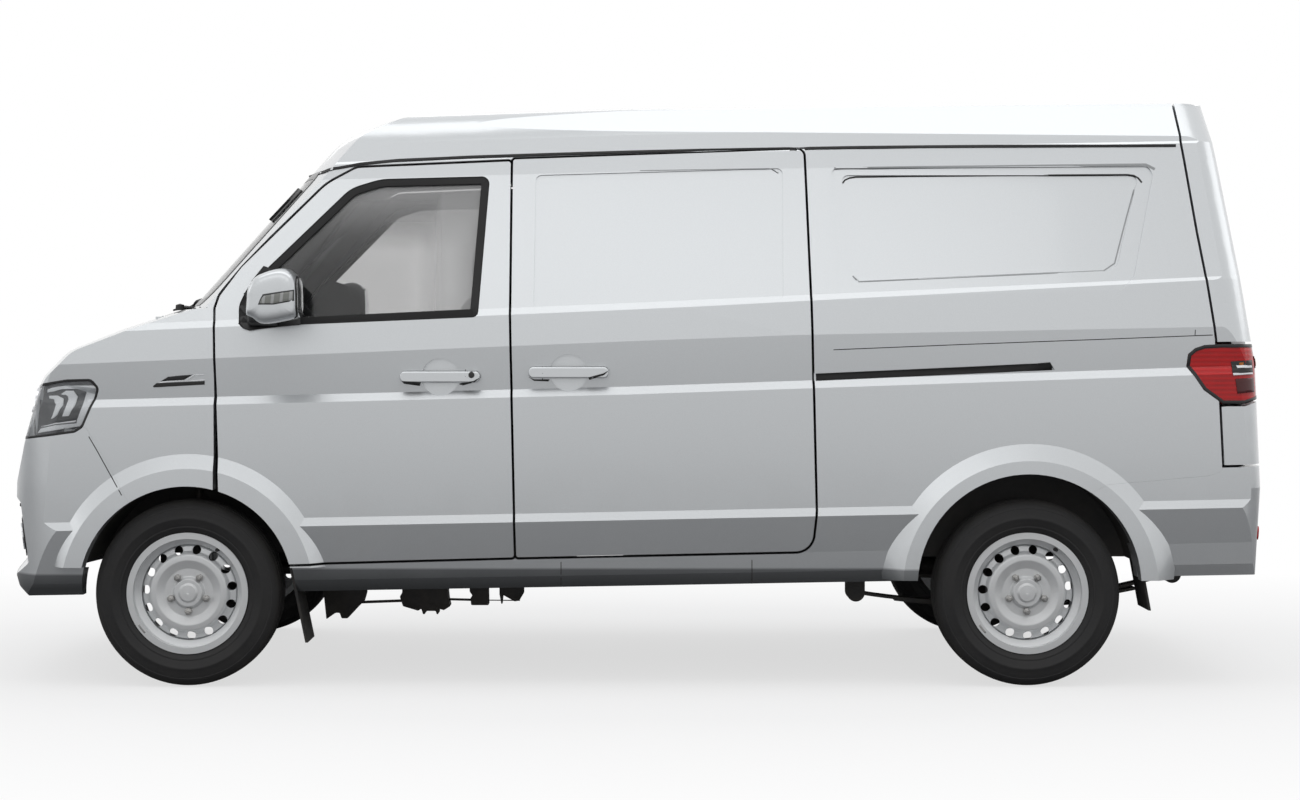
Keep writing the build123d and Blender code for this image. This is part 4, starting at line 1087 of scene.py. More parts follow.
CLEAR = clear_lens("clear_lens", (0.80, 0.83, 0.86), alpha=0.10)
GUIDE = light_guide("light_guide", (0.80, 0.82, 0.84), glow=0.26)
LAMP_TRAY = grained(
    "lamp_tray", (0.075, 0.078, 0.082), (0.115, 0.118, 0.122), 0.32, 0.35, 90, 0.0003
)
DARK_TRAY = grained(
    "lamp_tray_dark", (0.012, 0.012, 0.013), (0.020, 0.020, 0.022), 0.30, 0.0, 90, 0.0003
)
CHROME = grained("bright_chrome", (0.62, 0.63, 0.65), (0.72, 0.73, 0.75), 0.20, 1.0, 40, 0.0001)
LENS = CLEAR, "headlamp"
GLOW = GUIDE, "headlamp"
REAR_GLOW = GUIDE, "tail_lamp"
MIRRORED = CHROME, "headlamp"

# %% Lens, tray and border
LAMP = ["headlamps"]
LENS_THICK = 0.002
TRAY_DEPTH = 0.016


def lamp_skin(way):
    """A test for the outer faces of a left lamp; way is -1 at the nose and 1 at the tail."""

    def test(face):
        outward = way * face.normal.x > 0.2 or face.normal.y < -0.2
        upright = face.normal.y < 0.5 and abs(face.normal.z) < 0.9
        return face.calc_center_median().y < 0 and outward and upright

    return test


def lamp_parts():
    lens = outer_face_of("headlamps", "headlamp_lens_left", lamp_skin(-1))
    border = copied(lens, "headlamp_border_left", UNMOVED)
    ring_from(border, width=0.0075, proud=0.0004, inwards=0.012)
    modify(lens, "SOLIDIFY", thickness=LENS_THICK, offset=-1.0)
    tray = copied(NODES["headlamps"], "headlamp_tray_left", UNMOVED)
    tray.data.materials.clear()
    turn_outwards(tray)
    pick_faces(tray, lambda f: f.calc_center_median().y > 0)
    bpy.ops.mesh.delete(type="FACE")
    pick_faces(tray, lamp_skin(-1))
    bpy.ops.transform.shrink_fatten(value=-TRAY_DEPTH)
    clear_selection()
    return (lens, LENS), (border, GLOSS), (tray, (LAMP_TRAY, "headlamp"))


for part, finish in lamp_parts():
    for made in both_flanks(part, "root", finish):
        if "tray" in made.name:
            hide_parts("headlamps")
    print(part.name, len(part.data.polygons))

# %% Light guide and fins, drawn in the photograph's pixels
GUIDE_OUTLINE = [
    (46.7, 390.0), (50.0, 388.4), (57.5, 386.8), (71.1, 385.9), (92.2, 385.7), (95.5, 387.3),
    (96.6, 390.6), (95.5, 395.5), (90.0, 409.6), (82.5, 422.6), (79.2, 426.4), (55.4, 430.2),
    (41.3, 432.3), (36.0, 433.2), (39.5, 428.4), (54.8, 425.3), (76.0, 423.4), (76.5, 419.9),
    (83.5, 400.9), (86.8, 390.0), (85.2, 389.0), (71.6, 389.0), (60.8, 389.5), (53.2, 391.7),
    (46.7, 392.8),
]
FIN_FRONT = [
    (48.3, 396.0), (57.0, 396.0), (62.9, 399.3), (62.4, 403.6), (56.4, 415.0), (53.7, 417.7),
    (49.1, 419.1), (51.0, 416.1), (55.4, 403.1), (53.7, 399.8), (48.3, 398.7),
]
FIN_REAR = [
    (60.8, 393.9), (65.1, 391.1), (72.7, 391.1), (77.0, 397.1), (73.8, 404.7), (67.8, 416.1),
    (61.3, 416.6), (67.8, 400.4), (67.3, 396.6), (65.1, 395.2), (60.8, 395.0),
]
DARK_FLOOR = [
    (54.5, 422.6), (55.5, 418.5), (57.0, 415.0), (62.4, 412.3), (68.0, 416.5), (73.8, 405.2),
    (83.5, 400.9), (77.0, 419.3),
]
DARK_SIDE = [
    (94.9, 395.5), (98.6, 394.0), (96.0, 403.0), (87.0, 425.5), (84.0, 429.0), (80.0, 431.2),
    (70.0, 432.6), (55.4, 434.0), (55.4, 430.8), (79.2, 427.2), (82.9, 423.2), (90.4, 410.0),
]
LEDGE = [
    (38.5, 426.4), (55.0, 423.0), (75.6, 420.4), (75.2, 422.6), (54.8, 424.6), (39.0, 427.8),
]
add_plates(from_camera, LAMP, "root", (
    ("lamp_guide_left", GLOW, -0.009, 0.005, GUIDE_OUTLINE),
    ("lamp_fin_front_left", GLOW, -0.012, 0.007, FIN_FRONT),
    ("lamp_fin_rear_left", GLOW, -0.012, 0.007, FIN_REAR),
    ("lamp_dark_floor_left", (DARK_TRAY, "black_plastic"), -0.0125, 0.002, DARK_FLOOR),
    ("lamp_dark_side_left", (DARK_TRAY, "black_plastic"), -0.0075, 0.002, DARK_SIDE),
    ("lamp_ledge_left", MIRRORED, -0.0110, 0.002, LEDGE),
), cuts=1)
print("light guides placed")

# %% [markdown]
# Seen from the front, each lamp shows a round projector in its tray. It is turned on a lathe:
# a closed profile is spun round an axis along the van, as a bowl with a rim and a domed lens.

# %% Turned parts
UPRIGHT = Matrix.Rotation(-pi / 2, 4, "Y")
PROJECTOR = (-0.55, 0.905)
PROJECTOR_DEPTH = 0.018
BOWL = [
    (0.000, 0.046), (-0.006, 0.050), (-0.006, 0.053), (0.008, 0.053), (0.008, 0.012),
    (0.004, 0.030),
]
DOME_RADIUS = 0.034
DOME = [
    (-0.010 + 0.012 * (radius / DOME_RADIUS) ** 2, radius)
    for radius in (0.0005, 0.010, 0.018, 0.026, 0.031, DOME_RADIUS)
]
DOME += [(0.006, DOME_RADIUS), (0.006, 0.0005)]


def turned(name, profile, centre, turn=UNMOVED, steps=36):
    """Spins a closed profile of (run along the axis, radius) corners round the axis."""
    piece = outline_piece(name, [(run, radius, 0) for run, radius in profile], "NOTHING")
    edit(piece, "EDGE", "SELECT")
    bpy.ops.mesh.spin(steps=steps, angle=2 * pi, center=(0, 0, 0), axis=(1, 0, 0))
    clear_selection()
    turn_outwards(piece)
    piece.data.transform(Matrix.Translation(centre) @ turn)
    return piece


far, _ = nearest_skin(*from_front(*PROJECTOR), LAMP)
projector_spot = (far + PROJECTOR_DEPTH - CLEAR_OF_VAN, *PROJECTOR)
for name, profile, finish in (("lamp_bowl_left", BOWL, MIRRORED), ("lamp_dome_left", DOME, LENS)):
    made = turned(name, profile, projector_spot)
    both_flanks(made, "root", finish)
    print(name, len(made.data.polygons))

# %% The guide across the nose, drawn from the front
NOSE_GUIDE = [
    (-0.455, 0.962), (-0.640, 0.957), (-0.640, 0.947), (-0.470, 0.951), (-0.462, 0.945),
    (-0.462, 0.842), (-0.472, 0.834), (-0.640, 0.826), (-0.640, 0.813), (-0.455, 0.824),
    (-0.447, 0.835), (-0.447, 0.953),
]
add_plates(from_front, LAMP, "root", (
    ("lamp_nose_guide_left", GLOW, -0.006, 0.004, NOSE_GUIDE),
))
print("nose guide placed")

# %% [markdown]
# ## Tail lamps
# The red lens keeps the CAD solid. Its reflectors are drawn into the red as fine level ribs, a
# black seal follows its edge, and towards the hatch there is a clear window over a darker one.

# %% Red lens
def red_lens():
    material, shader, place = new_material(
        "red_lens", Coat_Weight=0.4, Coat_Roughness=0.03, IOR=1.50, Specular_IOR_Level=0.25
    )
    ribs = (place.parts()[2] * 420.0).maths("SINE").ramp(-0.6, 0.9)
    cloud = noise(place, 14.0, 3.0, 0.6).ramp(0.35, 0.70)
    red = mix_colour(ribs, (0.52, 0.002, 0.005, 1), (0.70, 0.004, 0.007, 1))
    feed(shader, "Base Color", mix_colour(cloud * 0.5, red, (0.78, 0.006, 0.009, 1)))
    feed(shader, "Roughness", ribs * 0.06 + 0.14)
    feed(shader, "Normal", bump(place, ribs, 0.20, 0.0008))
    return material


RED = red_lens(), "tail_lamp"
DARK_RED = grained(
    "dark_red_lens", (0.070, 0.002, 0.004), (0.110, 0.004, 0.006), 0.16, 0.0, 60, 0.0002
), "tail_lamp"
AMBER = grained(
    "amber_lens", (0.62, 0.18, 0.020), (0.74, 0.24, 0.030), 0.18, 0.0, 60, 0.0002
), "tail_lamp"
dress(RED[0], "tail_lamps")
seal = outer_face_of("tail_lamps", "tail_lamp_seal_left", lamp_skin(1))
ring_from(seal, width=0.011, proud=0.0012)
both_flanks(seal, "root", GLOSS)
print("tail lamp seal", len(seal.data.polygons))

# %% Windows in the tail lamp
TAIL = ["tail_lamps"]
add_plates(from_camera, TAIL, "root", (
    ("tail_window_left", GLOSS, 0.0014, 0.0012,
     [(1231.0, 361.4), (1251.5, 360.2), (1252.6, 373.2), (1232.7, 374.4)]),
    ("tail_window_bar_left", REAR_GLOW, 0.0026, 0.0010,
     [(1236.0, 366.0), (1251.0, 365.4), (1251.2, 367.6), (1237.5, 368.4)]),
    ("tail_window_rim_left", (CHROME, "tail_lamp"), 0.0024, 0.0010,
     [(1233.0, 373.6), (1252.0, 372.4), (1252.2, 374.2), (1233.4, 375.4)]),
    ("tail_amber_left", AMBER, 0.0026, 0.0010,
     [(1239.0, 362.6), (1243.5, 362.2), (1243.5, 364.8), (1239.4, 365.2)]),
    ("tail_prism_left", DARK_RED, 0.0014, 0.0014,
     [(1235.4, 378.8), (1253.0, 377.6), (1254.0, 392.0), (1237.5, 393.6)]),
), cuts=4)
add_plates(from_rear, TAIL, "root", (
    ("rear_window_left", GLOSS, 0.0015, 0.0012,
     [(-0.632, 1.062), (-0.735, 1.062), (-0.738, 1.024), (-0.635, 1.022)]),
    ("rear_reverse_left", REAR_GLOW, 0.0026, 0.0012,
     [(-0.640, 1.055), (-0.690, 1.055), (-0.690, 1.030), (-0.642, 1.029)]),
    ("rear_turn_left", AMBER, 0.0026, 0.0012,
     [(-0.694, 1.055), (-0.728, 1.055), (-0.730, 1.030), (-0.694, 1.030)]),
), cuts=4)
print("tail lamps detailed")

# %% [markdown]
# ## Door mirrors
# The photograph shows a sculpted case: steep in front, arched on top, with an upright rear edge
# round the glass. Its side outline is one flat face, extruded outwards in steps that are resized
# each time, and a subdivision surface rounds it. A black foot joins it to the door.

# %% Mirror case, foot and the black corner of the window
CASE_OUTLINE = [
    (246.8, 299.6), (246.8, 292.0), (247.8, 287.6), (250.6, 282.4), (253.8, 277.8),
    (257.6, 275.0), (263.1, 272.6), (270.7, 269.9), (279.6, 268.0), (286.0, 268.3),
    (292.4, 271.4), (296.4, 276.0), (298.9, 282.4), (299.5, 293.3), (299.6, 305.0),
    (299.4, 313.0), (298.4, 317.0), (294.6, 318.7), (279.6, 321.8), (266.9, 324.1),
    (258.4, 323.6), (254.6, 319.8), (250.8, 317.0), (246.0, 316.0), (245.6, 311.8),
]
CASE_DRAWN_AT = -0.935
# Distance from the van's middle and share of the outline's size, from the door outwards
CASE_STEPS = (
    (0.820, 0.80), (0.835, 0.86), (0.845, 0.97), (0.900, 1.02), (0.950, 0.985), (0.975, 0.90),
    (0.984, 0.72),
)
# Place along the van, across and up, then length and height, at the door and at the case
FOOT_INNER = (-1.163, -0.792, 1.190, 0.110, 0.066)
FOOT_OUTER = (-1.163, -0.862, 1.190, 0.078, 0.042)
SAIL = [
    (243.5, 329.0), (239.6, 325.0), (239.0, 315.0), (240.2, 303.0), (244.0, 294.0),
    (252.0, 281.5), (264.0, 266.5), (290.0, 276.0), (300.0, 300.0), (301.0, 325.0),
    (262.0, 329.0), (250.0, 331.0),
]


def mirror_case():
    corners = camera_outline(CASE_OUTLINE, CASE_DRAWN_AT)
    along_van, heights = zip(*corners)
    middle = (sum(along_van) / len(corners), 0, sum(heights) / len(corners))
    at, size = CASE_STEPS[0]
    case = outline_piece("mirror_case_left", [(x, -at, z) for x, z in corners])
    edit(case, "FACE", "SELECT")
    bpy.ops.transform.resize(value=(size, 1, size), center_override=middle)
    for reach, share in CASE_STEPS[1:]:
        extrude((0, at - reach, 0))
        ratio = share / size
        bpy.ops.transform.resize(value=(ratio, 1, ratio), center_override=middle)
        at, size = reach, share
    clear_selection()
    turn_outwards(case)
    modify(case, "SUBSURF", levels=2, render_levels=2)
    SKINS[case.name] = skin_tree(case.data)
    return case


def mirror_foot():
    """A short tapered arm between the door's corner and the case."""
    clear_selection()
    bpy.ops.mesh.primitive_cube_add(size=1.0)
    foot = started("mirror_foot_left")
    for vertex in foot.data.vertices:
        x, y, z, length, height = FOOT_INNER if vertex.co.y > 0 else FOOT_OUTER
        vertex.co = (x + vertex.co.x * length, y, z + vertex.co.z * height)
    bevel_edges(foot, 0.012, steps=4, angle=30)
    return foot


case = mirror_case()
for made in both_flanks(case, "front_door_left", (PAINT, "body_paint")):
    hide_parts(made.name.replace("mirror_case", "door_mirror"))
both_flanks(mirror_foot(), "front_door_left", GRAIN)
add_plates(from_camera, ["door_glass_left", "front_door_left"], "front_door_left", (
    ("window_sail_left", GRAIN, 0.0118, 0.003, SAIL),
))
print("mirror case", len(case.data.polygons))

# %% [markdown]
# ## Small trim on the flank
# The fender carries a false vent: a black slash over a bar. Under each end of a handle lies a
# dark rubber plate: painted shadow of that end. The handles have a seam before the end cap and
# a lock in the front one. The pillar has a slim grey deflector. All of them are thin plates on
# the skin, held in tables.

# %% Tables of thin plates
DOOR = ["front_door_left"]
SLIDE = ["slide_door_left"]
FENDER = ["front_fender_left"]
MIRROR_CASE = ["mirror_case_left"]
PILLAR = ["side_panel_left", "roof_panel", "windshield"]
LOCK = [
    (471.4 + 3.1 * cos(radians(a)), 375.0 + 3.1 * sin(radians(a))) for a in range(0, 360, 24)
]
CELL_PITCH = 0.0276
CELL_LEAN = 0.11


def smoked_lens():
    """A clear indicator lens whose four bowls show through as greyer cells."""
    material, shader, place = new_material("smoked_lens", Coat_Weight=0.6, Coat_Roughness=0.05)
    x, _, z = place.parts()
    share = ((x - CELL_LEAN * z) * (1 / CELL_PITCH)).maths("FRACT")
    cell = share.ramp(0.10, 0.16) * share.ramp(0.84, 0.78)
    feed(shader, "Base Color", mix_colour(cell, (0.52, 0.53, 0.53, 1), (0.27, 0.28, 0.26, 1)))
    feed(shader, "Roughness", cell * 0.10 + 0.16)
    feed(shader, "Normal", bump(place, cell, 0.30, 0.0006))
    return material


add_plates(from_camera, FENDER, "root", (
    ("vent_slash_left", GLOSS, 0.0006, 0.0012,
     [(160.1, 381.5), (167.8, 376.8), (177.5, 375.7), (192.6, 374.6), (189.6, 376.4),
      (183.9, 379.9), (168.1, 380.7)]),
    ("vent_bar_left", SATIN, 0.0006, 0.0014,
     [(152.7, 386.2), (156.4, 383.1), (204.6, 381.1), (204.4, 384.6), (153.7, 387.4)]),
    ("vent_bright_left", (CHROME, "wheel_steel"), 0.0006, 0.0010,
     [(158.5, 383.0), (160.4, 381.7), (185.5, 380.2), (194.0, 374.6), (204.4, 374.2),
      (204.6, 375.0), (195.0, 375.3), (187.0, 380.6), (204.6, 379.4), (204.6, 381.0)]),
))
add_plates(from_camera, DOOR, "front_door_left", (
    # Painted shadow: dark rubber plates under the ends of the front door's handle
    ("handle_gasket_front_left", SEAL, -0.0004, 0.0030,
     [(401.6, 381.0), (420.6, 382.0), (419.8, 385.9), (404.9, 383.9)]),
    ("handle_gasket_rear_left", SEAL, -0.0004, 0.0030,
     [(459.6, 383.6), (474.0, 380.6), (480.6, 377.0), (474.5, 382.2), (462.9, 385.4)]),
    ("door_lock_left", GLOSS, 0.0006, 0.0022, LOCK),
))
add_plates(from_camera, SLIDE, "root", (
    # Painted shadow: dark rubber plates under the ends of the sliding door's handle
    ("slide_gasket_front_left", SEAL, -0.0004, 0.0030,
     [(528.6, 377.0), (534.0, 379.4), (549.6, 379.4), (548.4, 381.4), (534.0, 380.8)]),
    ("slide_gasket_rear_left", SEAL, -0.0004, 0.0030,
     [(588.0, 377.4), (603.0, 373.4), (608.8, 370.4), (604.0, 375.2), (590.0, 379.4)]),
))
add_plates(from_camera, PILLAR, "root", (
    ("pillar_deflector_left", SATIN, 0.0011, 0.0035,
     [(269.1, 219.3), (297.8, 188.9), (302.7, 190.8), (273.0, 222.3)]),
))
add_plates(from_camera, MIRROR_CASE, "front_door_left", (
    ("indicator_seat_left", (TRIM_GREY, "black_plastic"), 0.0008, 0.0010,
     [(257.8, 304.6), (260.2, 298.6), (262.8, 294.2), (278.0, 291.8), (293.8, 289.6),
      (293.9, 300.8), (273.3, 304.6)]),
    ("indicator_lens_left", (smoked_lens(), "headlamp"), 0.0018, 0.0010,
     [(259.2, 303.4), (261.2, 298.8), (263.6, 295.9), (278.0, 293.3), (292.6, 291.2),
      (292.8, 299.9), (273.3, 303.4)]),
))
print("flank plates ready")

# %% Tables of thin seams, and of painted shade along pressed lines
# Painted shade: grey strips along pressed lines, in the body paint's slot
SHADE = grained(
    "painted_press_line_shade", (0.36, 0.375, 0.385), (0.42, 0.435, 0.445), 0.45, 0.3, 60, 0.0002
), "body_paint"
SEAM_LIFT = -0.0008
SEAM_PITCH = 6
SEAM_THICK = 0.0016
SHADE_STRIP_THICK = 0.0014


def add_seams(names, body, finish, rows):
    """Rows of name, width in pixels and line."""
    thick = SHADE_STRIP_THICK if finish == SHADE else SEAM_THICK
    for name, width, line in rows:
        seam = strip(name, line, width, from_camera, names, SEAM_LIFT, thick, SEAM_PITCH)
        both_flanks(seam, body, finish)


add_seams(DOOR, "front_door_left", SEAL, (
    ("handle_seam_left", 0.7, [(465.3, 369.8), (465.3, 383.0)]),
))
add_seams(SLIDE, "root", SEAL, (("slide_seam_left", 0.8, [(542.6, 366.9), (542.5, 379.8)]),))
# Painted shade along the sliding door's pressed line
add_seams(SLIDE, "root", SHADE, (
    ("slide_press_left", 1.0, [(640.0, 170.6), (700.0, 169.6), (771.0, 168.5), (778.5, 173.1)]),
))
add_seams(FENDER + ["front_bumper"], "root", SEAL, (
    ("bumper_seam_left", 0.9, [(88.5, 436.5), (97.0, 451.0), (108.0, 471.0), (121.5, 495.5)]),
))
add_seams(FENDER + PILLAR, "root", SEAL, (
    ("cowl_seam_left", 0.9, [(184.5, 307.2), (200.0, 307.3), (213.8, 307.4)]),
))
add_seams(FLANK, "root", SEAL, (
    ("cover_tick_left", 0.8, [(1195.6, 329.8), (1195.2, 335.2)]),
    ("sill_split_front_left", 0.8, [(561.0, 562.0), (561.0, 585.0)]),
    ("sill_split_rear_left", 0.8, [(752.0, 560.0), (752.0, 584.0)]),
))
# Painted shadow: a black strip in the groove along the top of the quarter panel's recess
add_seams(FLANK, "root", SATIN, (
    ("quarter_groove_left", 1.7,
     [(842.7, 183.1), (845.0, 180.0), (849.3, 178.1), (855.6, 177.1), (900.0, 176.4),
      (1010.0, 175.4), (1127.6, 174.7), (1134.0, 175.6), (1138.6, 178.2), (1142.0, 182.6)]),
))
# Painted shade along the quarter panel's pressed crown and bead
add_seams(FLANK, "root", SHADE, (
    ("quarter_crown_left", 2.6,
     [(834.0, 168.4), (900.0, 167.4), (1000.0, 166.3), (1146.0, 164.5), (1155.0, 169.1)]),
    ("quarter_bead_left", 1.4,
     [(852.8, 275.9), (858.9, 281.7), (1000.0, 275.5), (1103.6, 270.8), (1114.7, 263.4),
      (1124.0, 227.0), (1134.0, 189.5)]),
))
print("flank seams ready")

# %% [markdown]
# ## Mirror glass and wipers
# The mirror's glass looks backwards from its case. Two wipers rest on the windscreen, each with
# a flat arm, a rubber blade and a turned hub over its pivot.

# %% Mirror glass
def rounded(width, height, radius, centre, steps=4):
    """Corners of a rounded rectangle round its centre, for plates drawn square on."""
    corners = []
    for index, (sx, sy) in enumerate(((1, 1), (-1, 1), (-1, -1), (1, -1))):
        hub_x = centre[0] + sx * (width / 2 - radius)
        hub_y = centre[1] + sy * (height / 2 - radius)
        for step in range(steps + 1):
            turn = radians(90 * index + 90 * step / steps)
            corners.append((hub_x + radius * cos(turn), hub_y + radius * sin(turn)))
    return corners


MIRROR_MIDDLE = (-0.905, 1.248)
SILVER = grained("mirror_silver", (0.80, 0.81, 0.82), (0.84, 0.85, 0.86), 0.14, 1.0, 20, 0.00005)
add_plates(from_rear, MIRROR_CASE, "front_door_left", (
    ("mirror_rim_left", GLOSS, 0.0, 0.003, rounded(0.128, 0.132, 0.036, MIRROR_MIDDLE)),
    ("mirror_glass_left", (SILVER, "glass"), 0.0025, 0.0012,
     rounded(0.116, 0.120, 0.031, MIRROR_MIDDLE)),
))
print("mirror glass ready")

# %% Wipers on the windscreen
SCREEN = ["windshield", "cowl"]
HUB = [(0, 0.0005), (0, 0.016), (0.018, 0.014), (0.022, 0.0005)]


def wiper(name, way, blade):
    """An arm on its way from the pivot and its blade, laid on from the front."""
    across, up = way[0]
    arm = strip(
        name + "_arm", way, 0.014, from_front, SCREEN, lift=0.006, thick=0.006, pitch=0.03
    )
    rubber = strip(
        name + "_blade", blade, 0.010, from_front, ["windshield"],
        lift=0.0008, thick=0.012, pitch=0.04,
    )
    far, _ = nearest_skin(*from_front(across, up), SCREEN)
    hub = turned(name + "_hub", HUB, (far - CLEAR_OF_VAN, across, up + 0.002), UPRIGHT)
    mount(arm, "root", SATIN)
    mount(rubber, "root", (RUBBER, "black_plastic"))
    mount(hub, "root", SATIN)


wiper(
    "wiper_left", [(-0.420, 1.212), (-0.330, 1.218), (-0.080, 1.250)],
    [(-0.300, 1.236), (-0.080, 1.250), (0.170, 1.258)],
)
wiper(
    "wiper_right", [(0.160, 1.214), (0.400, 1.252)],
    [(0.210, 1.250), (0.400, 1.256), (0.560, 1.250)],
)
print("wipers ready")

# %% [markdown]
# ## The nose and the hatch
# Ends that the photograph hardly shows still need what any such van has: a chromed bar across
# the grille, a dark air intake with lamps beside it, blank number plates, a hatch handle, a rear
# wiper and reflectors. They are drawn square on, from the front and from the rear.

# %% Plates across the nose and the hatch
WHITE_PLATE = grained(
    "plate_white", (0.62, 0.63, 0.64), (0.68, 0.69, 0.70), 0.36, 0.0, 30, 0.0002
), "wheel_steel"
PLATE_LAMP = CLEAR, "tail_lamp"
NOSE = ["front_bumper", "front_grille"]
HATCH = ["tailgate"]
REAR_BUMPER = ["rear_bumper"]
FRONT_NUMBER = (0, 0.710)
REAR_NUMBER = (0, 0.930)
FOG_LAMP = (-0.640, 0.475)
add_plates(from_front, NOSE, "root", (
    ("front_plate_frame", GRAIN, 0.0006, 0.006, rounded(0.460, 0.132, 0.010, FRONT_NUMBER)),
    ("front_plate_blank", WHITE_PLATE, 0.0066, 0.0015,
     rounded(0.440, 0.112, 0.008, FRONT_NUMBER)),
    ("fog_recess_left", GLOSS, 0.0006, 0.003, rounded(0.170, 0.120, 0.040, FOG_LAMP)),
    ("fog_lens_left", MIRRORED, 0.0036, 0.005, rounded(0.086, 0.086, 0.0425, FOG_LAMP)),
), cuts=3)
add_plates(from_rear, HATCH, "tailgate", (
    ("rear_plate_frame", GRAIN, 0.0006, 0.006, rounded(0.460, 0.132, 0.010, REAR_NUMBER)),
    ("rear_plate_blank", WHITE_PLATE, 0.0066, 0.0015,
     rounded(0.440, 0.112, 0.008, REAR_NUMBER)),
    ("hatch_garnish", (PAINT, "body_paint"), 0.0006, 0.018,
     rounded(0.780, 0.046, 0.020, (0, 1.122))),
    ("hatch_handle_recess", SATIN, 0.0006, 0.004, rounded(0.220, 0.030, 0.012, (0, 1.072))),
    ("plate_lamp_near", PLATE_LAMP, 0.0006, 0.006, rounded(0.060, 0.014, 0.005, (-0.16, 1.016))),
    ("plate_lamp_far", PLATE_LAMP, 0.0006, 0.006, rounded(0.060, 0.014, 0.005, (0.16, 1.016))),
    ("high_stop_lamp", RED, 0.0006, 0.010, rounded(0.300, 0.026, 0.010, (0, 1.700))),
), cuts=3)
add_plates(from_rear, REAR_BUMPER, "root", (
    ("bumper_step_pad", GRAIN, 0.0006, 0.004, rounded(1.060, 0.050, 0.020, (0, 0.640))),
    ("rear_reflector_left", RED, 0.0006, 0.005, rounded(0.150, 0.044, 0.016, (-0.640, 0.490))),
), cuts=3)
print("end plates ready")

# %% Bars across the nose, and the rear wiper
# Name, half length, heights at the ends and in the middle, width, material, thickness
NOSE_BARS = (
    ("grille_bar_top", 0.425, (0.955, 0.958), 0.016, CHROME, 0.010),
    ("grille_bar_middle", 0.425, (0.880, 0.882), 0.020, CHROME, 0.012),
    ("intake_bar", 0.500, (0.566, 0.568), 0.012, TRIM_GREY, 0.010),
)
for name, half, (low, high), width, material, thick in NOSE_BARS:
    line = [(-half, low), (0.0, high), (half, low)]
    bar = strip(
        name, line, width, from_front, NOSE, lift=0.0, thick=thick, pitch=0.06, bevel=0.003
    )
    mount(bar, "root", (material, "black_plastic"))

REAR_PIVOT = (0.0, 1.225)
REAR_ARM = [REAR_PIVOT, (-0.070, 1.270), (-0.250, 1.330)]
REAR_BLADE = [(-0.080, 1.290), (-0.400, 1.372)]
REAR_HUB = [(0, 0.0005), (0, 0.020), (0.016, 0.018), (0.020, 0.0005)]
far, _ = nearest_skin(*from_rear(*REAR_PIVOT), HATCH)
for made in (
    strip(
        "rear_wiper_arm", REAR_ARM, 0.014, from_rear, HATCH + ["tailgate_glass"],
        lift=0.006, thick=0.006, pitch=0.04,
    ),
    strip(
        "rear_wiper_blade", REAR_BLADE, 0.010, from_rear, ["tailgate_glass"],
        lift=0.0008, thick=0.010, pitch=0.04,
    ),
    turned("rear_wiper_hub", REAR_HUB, (CLEAR_OF_VAN - far, *REAR_PIVOT)),
):
    mount(made, "tailgate", SATIN)
print("bars and rear wiper")

# %% [markdown]
# ## Seats
# A van seat is foam under a woven cover: a cushion, a backrest and a headrest on two posts. Each
# pad starts as its side outline drawn across the seat. The pad is remeshed into even cells and
# blown up a little as cloth, because real foam pushes its cover out between the seams. The
# seams and sewn channels are pressed in afterwards, since a remesh would have removed them.

# %% Seat fabric
def fabric(name, dark, light):
    """A woven cover: two crossing thread directions, sheen on the crowns and slow wear."""
    material, shader, place = new_material(name)
    threads = stripes(place, "Y", 160.0) * stripes(place, "DIAGONAL", 150.0)
    worn = noise(place, 7.0, 4.0, 0.6).ramp(0.35, 0.75)
    colour = mix_colour(threads.ramp(0.1, 0.8), opaque(dark), opaque(light))
    feed(shader, "Base Color", mix_colour(worn * 0.35, colour, opaque(light, 1.6)))
    feed(shader, "Roughness", threads * 0.1 + 0.82)
    feed(shader, "Normal", bump(place, threads, 0.45, 0.0012))
    shader.inputs["Sheen Weight"].default_value = 0.25
    return material


FABRIC = fabric("seat_cloth", (0.030, 0.031, 0.034), (0.075, 0.077, 0.082))

# %% Pads
SEAT_MIDDLE = -0.375
CUSHION = [
    (-0.972, 0.700), (-0.982, 0.775), (-0.962, 0.806), (-0.900, 0.812), (-0.640, 0.778),
    (-0.600, 0.772), (-0.592, 0.700),
]
BACKREST = [
    (-0.585, 0.800), (-0.560, 1.040), (-0.545, 1.230), (-0.520, 1.268), (-0.480, 1.262),
    (-0.470, 1.200), (-0.500, 0.790),
]
HEADREST = [
    (-0.520, 1.306), (-0.512, 1.420), (-0.490, 1.452), (-0.462, 1.448), (-0.450, 1.400),
    (-0.462, 1.308),
]
SEAT_SIDE = [
    (-0.960, 0.692), (-0.960, 0.716), (-0.600, 0.716), (-0.520, 1.150), (-0.500, 1.150),
    (-0.560, 0.692),
]
# Name, side outline, half width, pressure, furthest that a point may move, axis of the sewn
# channels and their places on it
PADS = (
    ("seat_cushion_left", CUSHION, 0.236, 3.5, 0.010, 0, (-0.90, -0.84, -0.78, -0.72, -0.66)),
    ("seat_backrest_left", BACKREST, 0.228, 3.5, 0.010, 2, (0.90, 0.96, 1.02, 1.08, 1.14, 1.20)),
    ("seat_headrest_left", HEADREST, 0.125, 3.0, 0.006, 2, ()),
)
PAD_CELL = 0.011
CHANNEL_HALF = 0.010
CHANNEL_DEPTH = 0.006
# Half length of the channels across the pad, and the side seams' distance from its middle
CHANNEL_REACH = 0.150
SEAM_PLACE = 0.155
SEAM_DEEPER = 1.4
POST = [(0, 0.0005), (0, 0.006), (0.090, 0.006), (0.090, 0.0005)]
POST_SPREAD = 0.045
FRAME_SPREAD = 0.225


